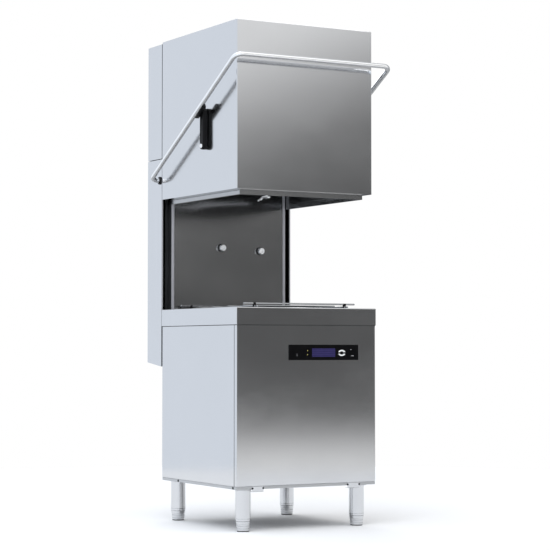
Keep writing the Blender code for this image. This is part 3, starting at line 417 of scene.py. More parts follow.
# the last value sets how strongly the tube's downward faces are darkened as painted shade
HANDLE_LOOK = polished_metal("handle_chrome", (0.9, 0.91, 0.92), 0.06, 0.72)
# painted shade: the guide rails are coloured near-black, standing in for the shade in the column's recesses beside
# them
SHADED_RAIL_LOOK = coated_metal("rail_painted_shade", (0.03, 0.031, 0.033), 0.5)
SATIN_CHROME = polished_metal("satin_chrome", (0.86, 0.87, 0.88), 0.46)
WIRE_LOOK = polished_metal("rack_wire", (0.4, 0.41, 0.42), 0.16)
GUIDE_STRIP = moulded_plastic("guide_strip", (0.36, 0.36, 0.38), 0.5, 700.0, 0.1)
FILTER_LOOK = perforated_metal("perforated_stainless", (0.6, 0.61, 0.62), 0.25, 0.006, 0.0032)
# also colours the painted shadow strips under the deck's band and beside the front panel
RUBBER_AND_SHADOW_STRIPS = moulded_plastic("black_rubber_and_painted_shadow", (0.018, 0.018, 0.018), 0.62, 500.0, 0.3)
BRASS = polished_metal("cast_brass", (0.62, 0.46, 0.2), 0.28)
# near-black: painted shade in the louvre openings and the outlet well, and the colour of the leg tabs' screw heads
SHADE_AND_DARK_SCREWS = moulded_plastic("painted_shade_and_dark_screws", (0.004, 0.004, 0.004), 0.7, 600.0, 0.1, 0.1)
LED = glowing("led_lens", (0.55, 0.5, 0.14), 0.55)
MARK = moulded_plastic("white_print", (0.62, 0.62, 0.64), 0.45, 1500.0, 0.05)
GREY_MARK = moulded_plastic("grey_print", (0.16, 0.16, 0.17), 0.45, 1500.0, 0.05)


def paint_frame():
    """Gives every CAD node the finish of its material slot."""
    # the guide rails take the near-black look that paints the recesses' shade
    special = {"tank_filter": FILTER_LOOK, "left_guide_rail": SHADED_RAIL_LOOK,
               "right_guide_rail": SHADED_RAIL_LOOK}
    for name, node in frame["nodes"].items():
        look = special.get(name, LOOKS[SLOT_OF[name]])
        node.data.materials.clear()
        node.data.materials.append(look)


# -------------------- mesh helpers


def finish_piece(name, shape, look, body="machine", stands_for=(), angle=35.0):
    """Turns the built shape into an object that rides on a body."""
    bmesh.ops.recalc_face_normals(shape, faces=shape.faces)
    mesh = bpy.data.meshes.new(name)
    shape.to_mesh(mesh)
    shape.free()
    mesh.materials.append(LOOKS[look] if isinstance(look, str) else look)
    mesh.shade_smooth()
    mesh.set_sharp_from_angle(angle=radians(angle))
    made = new_object(name, mesh)
    if body:
        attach(made, body)
    if stands_for:
        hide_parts(*stands_for)
    return made


def loft(shape, loops, closed=False):
    """Joins equal loops of points into a skin; a loop of one point is a tip."""
    rings = [[shape.verts.new(point) for point in loop] for loop in loops]
    pairs = list(zip(rings, rings[1:]))
    if closed:
        pairs.append((rings[-1], rings[0]))
    for first, second in pairs:
        count = max(len(first), len(second))
        for k in range(count):
            after = (k + 1) % count
            corners = [first[k % len(first)], first[after % len(first)],
                       second[after % len(second)], second[k % len(second)]]
            shape.faces.new(list(dict.fromkeys(corners)))
    if not closed:
        for ring in (rings[0], rings[-1]):
            if len(ring) > 2:
                shape.faces.new(ring)


def lofted(loops):
    """A new shape lofted through the loops."""
    shape = bmesh.new()
    loft(shape, loops)
    return shape


def circle(radius, height, segments):
    """A loop of points round the Z axis, or its one point on the axis."""
    if radius < 1e-9:
        return [Vector((0, 0, height))]
    turns = [2 * pi * k / segments for k in range(segments)]
    return [Vector((radius * cos(a), radius * sin(a), height)) for a in turns]


AXIS_TURNS = {
    "+Z": Matrix.Identity(4),
    "-Z": Matrix.Rotation(pi, 4, "X"),
    "+X": Matrix.Rotation(pi / 2, 4, "Y"),
    "-X": Matrix.Rotation(-pi / 2, 4, "Y"),
    "+Y": Matrix.Rotation(-pi / 2, 4, "X"),
    "-Y": Matrix.Rotation(pi / 2, 4, "X"),
}


def placed(loops, centre, axis="+Z"):
    """The loops turned so that their own Z points along the axis, and moved to the centre."""
    where = Matrix.Translation(centre) @ AXIS_TURNS[axis]
    return [[where @ Vector(point) for point in loop] for loop in loops]


def turned(shape, profile, centre, axis="+Z", segments=40, closed=False):
    """A turned solid from its (radius, height) profile."""
    loft(shape, placed([circle(r, z, segments) for r, z in profile], centre, axis), closed)


def mm(*profile):
    """A profile given in millimetres."""
    return [(radius / 1000, height / 1000) for radius, height in profile]


def turned_piece(name, profile, centre, axis, segments, look, body="machine", stands_for=(),
                 closed=False):
    """A finished piece made of one turned solid."""
    shape = bmesh.new()
    turned(shape, profile, centre, axis, segments, closed)
    finish_piece(name, shape, look, body, stands_for)


def soft_box(shape, low, high, radius, steps=1):
    """A box with rounded edges on every side."""
    part = bmesh.new()
    bmesh.ops.create_cube(part, size=1.0)
    for vertex in part.verts:
        vertex.co = Vector((a + b) / 2 + (b - a) * t for a, b, t in zip(low, high, vertex.co))
    bmesh.ops.bevel(part, geom=list(part.edges), offset=radius, segments=steps, affect="EDGES",
                    profile=0.5)
    merge(shape, part)


def box_piece(name, low, high, radius, steps, look, body="machine", stands_for=()):
    """A finished piece made of one soft box."""
    shape = bmesh.new()
    soft_box(shape, low, high, radius, steps)
    finish_piece(name, shape, look, body, stands_for)


def merge(shape, part, where=None):
    """Moves a part's faces into the shape."""
    if where is not None:
        part.transform(where)
    mesh = bpy.data.meshes.new("part")
    part.to_mesh(mesh)
    part.free()
    shape.from_mesh(mesh)
    bpy.data.meshes.remove(mesh)


def sweep(shape, path, radius, sides=16, closed=False):
    """A round bar along a path, with rounded ends where it is open."""
    path = [Vector(point) for point in path]
    radii = [radius] * len(path)
    if not closed:
        path, radii = rounded_ends(path, radius)
    count = len(path)
    tangents = []
    for k in range(count):
        before = path[k - 1] if k or closed else path[k]
        after = path[(k + 1) % count] if k < count - 1 or closed else path[k]
        tangents.append((after - before).normalized())
    normal = tangents[0].orthogonal().normalized()
    loops = []
    for k, (point, tangent) in enumerate(zip(path, tangents)):
        if k:
            normal = tangents[k - 1].rotation_difference(tangent) @ normal
        side = tangent.cross(normal)
        turns = [2 * pi * j / sides for j in range(sides)]
        loops.append([point + (normal * cos(a) + side * sin(a)) * radii[k] for a in turns])
    loft(shape, loops, closed)


def rounded_ends(path, radius):
    """A path and its radii with a small round at each end."""
    first = (path[1] - path[0]).normalized()
    last = (path[-2] - path[-1]).normalized()
    turns = (radians(20), radians(50), radians(90))
    steps = [(radius * (1 - cos(a)), radius * sin(a)) for a in turns]
    start = [path[0] + first * along for along, _ in steps]
    stop = [path[-1] + last * along for along, _ in reversed(steps)]
    sizes = [size for _, size in steps]
    return start + path[1:-1] + stop, sizes + [radius] * (len(path) - 2) + sizes[::-1]


def rounded_path(corners, radius, steps=8):
    """The points of a bent bar: straight runs joined by arcs of one radius."""
    corners = [Vector(corner) for corner in corners]
    path = [corners[0]]
    for before, corner, after in zip(corners, corners[1:], corners[2:]):
        along = (corner - before).normalized()
        away = (after - corner).normalized()
        turn = along.angle(away)
        reach = radius * tan(turn / 2)
        centre = corner + (away - along).normalized() * radius / cos(turn / 2)
        spoke = corner - along * reach - centre
        hinge = along.cross(away).normalized()
        path += [centre + Matrix.Rotation(turn * k / steps, 3, hinge) @ spoke
                 for k in range(steps + 1)]
    path.append(corners[-1])
    return path


def capsule(half_w, length, steps=10):
    """The outline of a slot: half circles about (0, 0) and (0, length)."""
    low = [radians(180 + 180 * k / steps) for k in range(steps + 1)]
    high = [radians(180 * k / steps) for k in range(steps + 1)]
    return ([(half_w * cos(a), half_w * sin(a)) for a in low]
            + [(half_w * cos(a), length + half_w * sin(a)) for a in high])


def middle(node):
    """The middle of a CAD node's box."""
    low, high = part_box(node)
    return (low + high) / 2


def facing(side, letter="X"):
    """The name of the axis direction on a side."""
    return ("+" if side > 0 else "-") + letter


def screw_head(shape, centre, axis, radius, height):
    """A domed screw head with a round drive."""
    drive = radius * 0.42
    profile = [(0, 0.45), (drive * 0.9, 0.45), (drive, 1.0), (radius * 0.7, 0.9),
               (radius * 0.93, 0.5), (radius, 0), (0, 0)]
    turned(shape, [(r, height * share) for r, share in profile], centre, axis, 20)


# -------------------- handle and links

TUBE_R, BEND_R = 0.0095, 0.032
CLAMP_SCREW = (0.0042, 0.0026)     # radius and height of a head


def make_handle():
    """The bent-tube handle in one smooth piece, with its clamps, links and pins."""
    low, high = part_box("handle_bail")
    arm_x = high.x - TUBE_R
    bar_y = low.y + TUBE_R
    bar_z = high.z - TUBE_R
    pivot = Vector(JOINTS["handle_pivot"]["pos_m"])
    arm_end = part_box("column_casing")[1].x - 0.004
    corners = [(-arm_end, pivot.y, pivot.z), (-arm_x, pivot.y, pivot.z), (-arm_x, bar_y, bar_z),
               (arm_x, bar_y, bar_z), (arm_x, pivot.y, pivot.z), (arm_end, pivot.y, pivot.z)]
    shape = bmesh.new()
    sweep(shape, rounded_path(corners, BEND_R), TUBE_R, 28)
    finish_piece("handle_tube", shape, HANDLE_LOOK, "handle", ["handle_bail"])
    rise = atan2(bar_z - pivot.z, pivot.y - bar_y)
    for name, side in SIDES:
        make_clamp(name, side, rise, arm_x)
        make_link(name, side)
        make_bush(name, side, pivot)


def make_clamp(name, side, rise, arm_x):
    """A moulded block on the arm, with soft edges and two screws."""
    node = name + "_arm_clamp"
    low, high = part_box(node)
    centre = middle(node)
    inner = low.x if side > 0 else -high.x
    half_long, half_tall, corner = 0.039, 0.013, 0.006
    depth = arm_x - inner
    edge = [(0.0025, 0.0), (0.0007, 0.0007), (0.0, 0.0025)]
    sections = edge + [(inset, depth - along) for inset, along in reversed(edge)]
    where = (Matrix.Translation((side * inner, centre.y, centre.z))
             @ Matrix.Rotation(-rise, 4, "X") @ Matrix.Rotation(side * pi / 2, 4, "Y")
             @ Matrix.Rotation(pi / 2, 4, "Z"))
    shape = lofted([[where @ Vector((x, y, along)) for x, y in
                     rounded_rectangle(half_long - inset, half_tall - inset, corner)]
                    for inset, along in sections])
    finish_piece(name + "_clamp_block", shape, BLACK, "handle", [node])
    screws = bmesh.new()
    for along in (-0.028, 0.028):
        place = where @ Vector((along, 0, depth + TUBE_R * 0.2))
        screw_head(screws, place, facing(side), *CLAMP_SCREW)
    finish_piece(name + "_clamp_screws", screws, POLISHED, "handle")


def rounded_rectangle(half_w, half_h, corner, steps=5):
    """Points round a rectangle with round corners, anticlockwise."""
    points = []
    for quarter, (sx, sy) in enumerate(((1, 1), (-1, 1), (-1, -1), (1, -1))):
        for k in range(steps + 1):
            a = radians(90 * quarter + 90 * k / steps)
            points.append((sx * (half_w - corner) + corner * cos(a),
                           sy * (half_h - corner) + corner * sin(a)))
    return points


def make_link(name, side):
    """The black link: a moulded bar with round edges and a sunk face, hung on its pin."""
    low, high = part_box(name + "_link")
    half_w = (high.y - low.y) / 2
    y = middle(name + "_link").y
    pin_z = low.z + half_w
    length = high.z - low.z - 2 * half_w
    inner, outer = sorted((abs(low.x), abs(high.x)))
    sections = [(0.0028, inner), (0.0008, inner + 0.0008), (0.0, inner + 0.0028),
                (0.0, outer - 0.0032), (0.001, outer - 0.001), (0.0032, outer), (0.0046, outer),
                (0.0056, outer - 0.0014)]
    loops = [[Vector((side * x, y + a, pin_z + b)) for a, b in capsule(half_w - inset, length)]
             for inset, x in sections]
    finish_piece(name + "_link_bar", lofted(loops), BLACK, name + "_link_body", [name + "_link"])
    turned_piece(name + "_link_cap", mm(
        (0, 1.2), (6, 1.2), (7.8, 0.4), (8.2, -1.2), (0, -1.2)
    ), (side * outer, y, pin_z + length), facing(side), 28, BLACK, name + "_link_body")
    root = abs(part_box("hood_shell")[1].x) + 0.0004
    head = outer + 0.0006
    turned_piece(name + "_pin", [
        (0, head + 0.003), (0.0026, head + 0.003), (0.003, head + 0.0042),
        (0.0062, head + 0.004), (0.0084, head + 0.0026), (0.0092, head), (0.005, head),
        (0.005, root), (0, root)
    ], (0, y, pin_z), facing(side), 32, POLISHED, "hood", [name + "_link_pin"])


def make_bush(name, side, pivot):
    """The flanged bush in the column's side that the handle turns in."""
    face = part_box("column_casing")[1].x
    turned_piece(name + "_pivot_bush", mm(
        (10, 5.2), (15, 5.2), (16.3, 4), (16.5, 0.4), (12.5, 0.4), (12.5, -2.9), (10, -2.9)
    ), (side * face, pivot.y, pivot.z), facing(side), 36, BLACK,
        stands_for=[name + "_handle_bush"], closed=True)


# -------------------- legs and feet

LEG_R = 0.03
THREAD_R, THREAD_DEPTH, THREAD_STEP, THREAD_STEPS = 0.006, 0.0006, 0.00125, 50
TAB_DROP, TAB_THICK = 0.01, 0.0012


def make_legs():
    """Tubular legs with a rolled end and a flange, and stepped screw feet."""
    for end in ("front", "rear"):
        for side, _ in SIDES:
            leg = f"leg_{end}_{side}"
            low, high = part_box(leg)
            x, y, _ = middle(leg)
            top, end_z, tube, flange = high.z, low.z, LEG_R, (high.x - low.x) / 2
            profile = [(0, top), (flange - 0.001, top), (flange, top - 0.001),
                       (flange, top - 0.003), (tube + 0.004, top - 0.003),
                       (tube + 0.001, top - 0.0055), (tube, top - 0.01), (tube, end_z + 0.01),
                       (tube - 0.0007, end_z + 0.0092), (tube, end_z + 0.0084),
                       (tube, end_z + 0.002), (tube - 0.0016, end_z), (0.0066, end_z),
                       (0.0066, end_z + 0.07), (0, end_z + 0.07)]
            turned_piece(leg + "_tube", profile, (x, y, 0), "+Z", 48, BRUSHED, "machine", [leg])
            make_foot(end, side, x, y)


def make_foot(end, side, x, y):
    """A screw foot: thread, stepped body with two spanner grooves and a rubber face."""
    node = f"foot_{end}_{side}"
    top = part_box(node)[1].z
    body = f"{end}_{side}_foot"
    thread = [(THREAD_R - THREAD_DEPTH * (k % 2), top - 0.002 - THREAD_STEP * k)
              for k in range(THREAD_STEPS)]
    profile = [(0, top), (0.005, top)] + thread + [
        (0.006, 0.04), (0.0275, 0.04), (0.0285, 0.039), (0.0285, 0.031), (0.0272, 0.0298),
        (0.0268, 0.0235), (0.026, 0.0228), (0.0268, 0.022), (0.0262, 0.0125), (0.0252, 0.0118),
        (0.0258, 0.011), (0.0246, 0.004), (0, 0.004)]
    turned_piece(node + "_body", profile, (x, y, 0), "+Z", 44, BRUSHED, body, [node])
    turned_piece(node + "_pad", mm(
        (0, 4.4), (22.5, 4.4), (24, 3.4), (24, 0.8), (23.2, 0), (0, 0)
    ), (x, y, 0), "+Z", 40, RUBBER_AND_SHADOW_STRIPS, body)


def make_leg_tabs():
    """Folded tabs under the plinth beside the front legs, and the screws of the legs' plates."""
    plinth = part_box("base_frame")[0]
    front, bottom = plinth.y, plinth.z
    leg_x = middle("leg_front_right").x
    tabs = bmesh.new()
    screws = bmesh.new()
    foot = bottom - TAB_DROP
    for start, width in ((-leg_x + 0.012, 0.05), (leg_x - 0.074, 0.056)):
        stop = start + width
        corner = (start, front - TAB_THICK, foot)
        soft_box(tabs, corner, (stop, front - 0.0002, bottom + 0.0105), 0.0004)
        soft_box(tabs, corner, (stop, front + 0.016, foot + TAB_THICK), 0.0004)
        for x in (start + 0.0015, stop - 0.0015):
            screw_head(screws, (x, front - TAB_THICK, bottom + 0.0035), "-Y", 0.004, 0.0016)
    for end, shift in (("front", -0.021), ("rear", -0.11)):
        y = middle(f"leg_{end}_left").y + shift
        for _, side in SIDES:
            place = (side * abs(plinth.x), y, bottom + 0.0055)
            screw_head(screws, place, facing(side), 0.0052, 0.0018)
    finish_piece("leg_tabs", tabs, BRUSHED)
    finish_piece("leg_tab_screws", screws, SHADE_AND_DARK_SCREWS)


def make_painted_shadow_lines():
    """Painted shadow: thin near-black strips under the deck's band and in the gap behind the front panel's return,
    standing in for the shadow lines there.
    """
    deck_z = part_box("tank_deck")[0].z
    panel_low, panel_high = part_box("front_panel")
    side_low, side_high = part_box("left_side_panel")
    tall, wide, proud = 0.003, 0.0022, 0.0005
    low = Vector((side_low.x - proud, panel_low.y - proud, deck_z - tall))
    high = Vector((-side_low.x + proud, side_high.y + proud, deck_z - 0.0003))
    shape = bmesh.new()
    for a, b in (((low.x, low.y), (high.x, low.y + wide)),
                 ((low.x, high.y - wide), (high.x, high.y)),
                 ((low.x, low.y), (low.x + wide, high.y)),
                 ((high.x - wide, low.y), (high.x, high.y))):
        soft_box(shape, (*a, low.z), (*b, high.z), 0.0004)
    for _, side in SIDES:
        edge = side * abs(side_low.x)
        near, far = sorted((edge - side * 0.003, edge + side * 0.0003))
        soft_box(shape, (near, panel_high.y - 0.0008, side_low.z),
                 (far, side_low.y + 0.0008, low.z), 0.0002)
    # painted shadow: these strips use the black rubber's near-black colour
    finish_piece("painted_shadow_strips", shape, RUBBER_AND_SHADOW_STRIPS)


def make_hub_nuts():
    """Domed nuts that hold the spray arms on their spindles."""
    for place, way in (("upper_rinse", -1), ("lower_rinse", 1)):
        low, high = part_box(place + "_arm")
        x, y, _ = JOINTS[place + "_spin"]["pos_m"]
        turned_piece(place + "_arm_nut", mm(
            (0, 8.5), (6, 8), (10, 5.5), (15, 4.5), (19, 2), (19.5, 0.6), (0, 0.6)
        ), (x, y, high.z if way > 0 else low.z), facing(way, "Z"), 36, POLISHED, place + "_rotor")


# -------------------- controls


def make_controls():
    """Detail on the black fascia: bezel, lights, marks and the rounded buttons."""
    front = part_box("control_fascia")[0].y
    window_low, window_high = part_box("display_window")
    bezel = bmesh.new()
    for bottom, top in ((window_low.z - 0.001, window_low.z - 0.0003),
                        (window_high.z + 0.0003, window_high.z + 0.001)):
        soft_box(bezel, (window_low.x - 0.001, front - 0.0006, bottom),
                 (window_high.x + 0.001, front + 0.0002, top), 0.0001)
    finish_piece("display_bezel", bezel, "fascia_plastic")
    lights = bmesh.new()
    light_x = window_low.x - 0.021
    light_z = middle("display_window").z
    for dz in (-0.008, 0.008):
        turned(lights, [(0, 0.0008), (0.001, 0.0007), (0.0015, 0.0002), (0.0015, -0.0004),
                        (0, -0.0004)], (light_x, front, light_z + dz), "-Y", 18)
    finish_piece("fascia_lights", lights, LED)
    marks = bmesh.new()
    mark_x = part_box("up_button")[1].x + 0.026
    for dx, dz, half in ((0.0, 0.0118, 0.0022), (0.0075, -0.013, 0.0016),
                         (0.0125, -0.013, 0.0016), (0.0035, -0.013, 0.001)):
        soft_box(marks, (mark_x + dx - half, front - 0.0002, light_z + dz - 0.0009),
                 (mark_x + dx + half, front + 0.0001, light_z + dz + 0.0009), 0.00008)
    finish_piece("fascia_marks", marks, MARK)
    make_power_key()
    make_arc_key("up", 1)
    make_arc_key("down", -1)
    make_select_key()


def make_power_key():
    """The power key: a small rocker with a grey upright mark."""
    low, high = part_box("power_button")
    box_piece("power_key_cap", low, high, 0.0009, 3, BLACK, "power_key", ["power_button"])
    x, _, z = middle("power_button")
    box_piece("power_key_mark", (x - 0.0007, low.y - 0.0002, z - 0.0045),
              (x + 0.0007, low.y + 0.0003, z + 0.0045), 0.0001, 1, GREY_MARK, "power_key")


def make_arc_key(name, way):
    """A white arc-shaped key with round edges, above or below the round key."""
    node = name + "_button"
    low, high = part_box(node)
    centre = middle("select_button")
    steps, first = 16, 20            # of an arc that starts this many degrees from level
    outer_x = (high.x - low.x) / 2 / cos(radians(first))
    outer_z = (high.z - centre.z) if way > 0 else (centre.z - low.z)
    turns = [radians(first + (180 - 2 * first) * k / steps) for k in range(steps + 1)]

    def arc_loop(inset, depth):
        far = [(cos(a) * (outer_x - inset), sin(a) * (outer_z - inset)) for a in turns]
        near = [(cos(a) * (outer_x * 0.6 + inset), sin(a) * (outer_z * 0.56 + inset))
                for a in reversed(turns)]
        return [Vector((centre.x + x, depth, centre.z + way * z)) for x, z in far + near]

    shape = lofted([arc_loop(0.0, high.y), arc_loop(0.0, low.y + 0.0006),
                    arc_loop(0.0003, low.y + 0.0002), arc_loop(0.0009, low.y)])
    finish_piece(node + "_cap", shape, "white_plastic", name + "_key", [node])


def make_select_key():
    """The round key between the arcs."""
    low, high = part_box("select_button")
    centre = middle("select_button")
    half_x, half_z = (high.x - low.x) / 2, (high.z - low.z) / 2
    turns = [2 * pi * k / 28 for k in range(28)]
    sections = ((1.0, high.y), (1.0, low.y + 0.0006), (0.94, low.y + 0.0002), (0.8, low.y),
                (0.3, low.y + 0.0001))
    shape = lofted([[Vector((centre.x + half_x * scale * cos(a), y,
                             centre.z + half_z * scale * sin(a))) for a in turns]
                    for scale, y in sections])
    finish_piece("select_key_cap", shape, BLACK, "select_key", ["select_button"])


# -------------------- chamber


def make_knobs():
    """Fluted knobs on the back wall, each on a dark washer."""
    lobes, segments = 9, 72
    turns = [2 * pi * k / segments for k in range(segments)]

    def fluted(radius, cut, height):
        reach = [radius * (1 - cut * (0.5 + 0.5 * cos(lobes * a))) for a in turns]
        return [Vector((r * cos(a), r * sin(a), height)) for r, a in zip(reach, turns)]

    for name, _ in SIDES:
        node = name + "_panel_knob"
        low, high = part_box(node)
        x, _, z = middle(node)
        depth = high.y - low.y
        sections = [(0.01, 0.0, 0.0055), (0.01, 0.0, 0.0065), (0.014, 0.06, 0.0072),
                    (0.0148, 0.1, 0.0085), (0.0148, 0.1, depth - 0.004),
                    (0.0138, 0.08, depth - 0.0012), (0.012, 0.03, depth),
                    (0.0062, 0.0, depth - 0.0002), (0.0048, 0.0, depth - 0.0016)]
        shape = lofted(placed([fluted(*section) for section in sections], (x, high.y, z), "-Y"))
        finish_piece(node + "_grip", shape, SATIN_CHROME, "machine", [node])
        turned_piece(node + "_washer", mm(
            (7.5, 5), (15.5, 5), (16.8, 3.8), (17.2, 0.4), (7.5, 0.4)
        ), (x, high.y, z), "-Y", 40, RUBBER_AND_SHADOW_STRIPS, closed=True)


def make_guide_strips():
    """Pale wear strips on the front edges of the two guide rails and of the column's sides."""
    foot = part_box("tank_deck")[1].z + 0.0005
    column_low, column_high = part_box("column_casing")
    for name, side in SIDES:
        low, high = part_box(name + "_guide_rail")
        box_piece(name + "_guide_strip", (low.x + 0.0004, low.y - 0.0011, foot),
                  (high.x - 0.0004, low.y - 0.0001, high.z - 0.004), 0.0003, 2,
                  GUIDE_STRIP)
        near, far = sorted((side * (column_high.x - 0.0058), side * (column_high.x - 0.0002)))
        box_piece(name + "_column_edge", (near, column_low.y - 0.001, foot),
                  (far, column_low.y - 0.0001, column_high.z - 0.004), 0.0003, 2,
                  GUIDE_STRIP)


def make_rack_guide():
    """The wire rack guide: guide wires on clips, runners and cross wires."""
    low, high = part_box("rack_frame")
    wire, post_x = 0.0035, 0.207
    top_z, cross_z = high.z - wire, low.z + 0.0045
    half_long = (high.x - low.x) / 2
    front_y, rear_y = low.y + 0.0085, high.y - 0.0085
    shape = bmesh.new()

    def wire_across(half, y, z):
        sweep(shape, [(-half, y, z), (0, y, z), (half, y, z)], wire)

    for y in (front_y, rear_y):
        wire_across(half_long, y, top_z)
    posts = [(side * post_x, y) for _, side in SIDES for y in (front_y, rear_y)]
    for _, side in SIDES:
        x = side * post_x
        sweep(shape, [(x, y, cross_z) for y in (front_y - 0.008, 0, rear_y + 0.008)], wire)
    for x, y in posts:
        turned(shape, [(0, 0.0085), (0.003, 0.0078), (0.005, 0.005), (0.005, 0.0028),
                       (0.0038, 0.0), (0, 0.0)], (x + 0.0115, y - 0.002, low.z), segments=24)
    runners, pitch = 4, 0.125
    for k in range(runners):
        wire_across(post_x + 0.006, (front_y + rear_y) / 2 + (k - (runners - 1) / 2) * pitch,
                    cross_z + 0.0043)
    finish_piece("rack_wires", shape, WIRE_LOOK, "rack_guide", ["rack_frame"])
    clips = bmesh.new()
    for x, y in posts:
        soft_box(clips, (x - 0.0055, y - 0.0052, low.z), (x + 0.0055, y + 0.0052, top_z + 0.0034),
                 0.0018, 2)
    finish_piece("rack_clips", clips, BLACK, "rack_guide")


def flattened(part, power):
    """A sine or cosine bent towards a squarer outline."""
    return abs(part) ** power * (1 if part >= 0 else -1)


def make_spray_arm(place, kind, way, width, thickness, jets):
    """A pressed spray arm with tapered ends, a hub and slotted jets on the rack's side."""
    name = f"{place}_{kind}"
    node = name + "_arm"
    centre = Vector(JOINTS[name + "_spin"]["pos_m"])
    points = [vertex.co - centre for vertex in frame["nodes"][node].data.vertices]
    tip = max(points, key=lambda point: point.x ** 2 + point.y ** 2)
    half = (tip.x ** 2 + tip.y ** 2) ** 0.5
    outline = [(0.1, 1.0), (0.25, 1.0), (0.6, 1.0), (0.9, 0.98), (0.95, 0.86), (0.985, 0.62),
               (1.0, 0.3)]
    sections = [(-along, share) for along, share in reversed(outline)] + [(0.0, 1.0)] + outline
    turns = [2 * pi * k / 20 for k in range(20)]
    loops = []
    for station, share in sections:
        tall = thickness / 2 * (0.55 + 0.45 * share)
        loops.append([Vector((station * half, width / 2 * share * flattened(cos(a), 0.7),
                              tall * flattened(sin(a), 0.8))) for a in turns])
    part = lofted(loops)
    for k in range(jets):
        reach = 0.22 + 0.7 * k / (jets - 1)
        for _, side in SIDES:
            jet = (side * reach * half, side * width * (0.16 if k % 2 else -0.12),
                   way * thickness / 2 * 0.85)
            turned(part, [(0, 0.0014), (0.0011, 0.0014), (0.0013, 0.0024), (0.0026, 0.0022),
                          (0.0036, 0.0), (0, 0.0)], jet, facing(way, "Z"), 16)
    hub = thickness / 2 + 0.001
    turned(part, [(0.0066, hub), (0.015, hub), (0.017, hub - 0.002), (0.017, -hub + 0.002),
                  (0.015, -hub), (0.0066, -hub)], (0, 0, 0), segments=36, closed=True)
    shape = bmesh.new()
    merge(shape, part, Matrix.Translation(centre) @ Matrix.Rotation(atan2(tip.y, tip.x), 4, "Z"))
    finish_piece(node + "_pressing", shape, BRUSHED, name + "_rotor", [node])


def make_tank_trim():
    """Lift handles on the filter tray and the overflow pipe's knob."""
    low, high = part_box("tank_filter")
    y = middle("tank_filter").y
    base, wire = low.z + 0.0016, 0.0022
    shape = bmesh.new()
    for _, side in SIDES:
        x = side * (high.x - 0.06)
        corners = [(x, y - 0.04, base), (x, y - 0.04, base + 0.024), (x, y + 0.04, base + 0.024),
                   (x, y + 0.04, base)]
        sweep(shape, rounded_path(corners, 0.009, 5), wire, 12)
    finish_piece("filter_handles", shape, POLISHED, "filter_tray")
    rim = bmesh.new()
    outline = rounded_rectangle(high.x - wire, (high.y - low.y) / 2 - wire, 0.01, 4)
    sweep(rim, [(a, y + b, high.z - wire) for a, b in outline], 0.0016, 10, closed=True)
    finish_piece("filter_rim", rim, POLISHED, "filter_tray")
    x, y, _ = middle("overflow_pipe")
    turned_piece("overflow_knob", mm(
        (0, 0), (5, -0.4), (8, -3), (8.5, -7), (7, -9.5), (6.2, -15), (0, -15)
    ), (x, y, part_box("overflow_pipe")[1].z), "+Z", 32, BLACK, "overflow")


def make_springs():
    """Close-wound counterbalance springs, made as fixed coils on no body; on the machine they stretch as the hood
    goes down.
    """
    wire, radius, turns, steps, eye = 0.0011, 0.0078, 84, 10, 0.016
    count = turns * steps
    for name, _ in SIDES:
        node = name + "_counterbalance_spring"
        low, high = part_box(node)
        x, y, _ = middle(node)
        start, stop = low.z + eye, high.z - eye
        coil = [(x + radius * cos(2 * pi * k / steps), y + radius * sin(2 * pi * k / steps),
                 start + (stop - start) * k / count) for k in range(count + 1)]
        lower = [(x, y, low.z + wire), (x + radius * 0.3, y, low.z + eye * 0.6)]
        upper = [(x + radius * 0.3, y, high.z - eye * 0.6), (x, y, high.z - wire)]
        shape = bmesh.new()
        sweep(shape, lower + coil + upper, wire, 6)
        spring = finish_piece(node + "_coil", shape, "spring_steel", None, [node])
        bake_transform(spring)


# -------------------- rear, top and underside

COVER_THICK = 0.0016
REAR_SCREW = (0.0042, 0.002)       # radius and height of a head
LOUVRE_PITCH, LOUVRE_PROUD, LOUVRE_TALL = 0.022, 0.005, 0.011


def make_column_trim():
    """Screwed service cover and louvres on the column's back, and the outlet grille on top."""
    low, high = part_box("column_casing")
    tower_low, tower_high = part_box("tower_casing")
    tower = middle("tower_casing")
    rear, face = high.y, high.y + COVER_THICK
    cover_half = high.x - 0.045
    cover_low, cover_high = low.z + 0.06, high.z - 0.05
    box_piece("service_cover", (-cover_half, rear + 0.0001, cover_low),
              (cover_half, face, cover_high), 0.0006, 2, BRUSHED)
    screws = bmesh.new()
    rows, inset = 4, 0.02
    heights = [cover_low + inset + (cover_high - cover_low - 2 * inset) * k / (rows - 1)
               for k in range(rows)]
    places = [(0, face, heights[0]), (0, face, heights[-1])]
    for _, side in SIDES:
        places += [(side * (cover_half - 0.014), face, z) for z in heights]
        places += [(side * (cover_half + 0.02), rear, z)
                   for z in (tower_low.z + 0.03, tower_high.z - 0.03)]
    for place in places:
        screw_head(screws, place, "+Y", *REAR_SCREW)
    finish_piece("rear_screws", screws, POLISHED)
    make_louvres("tower_louvres", rear, tower.z + 0.02, 0.17, 9)
    make_grille(tower_high.z, tower.y)


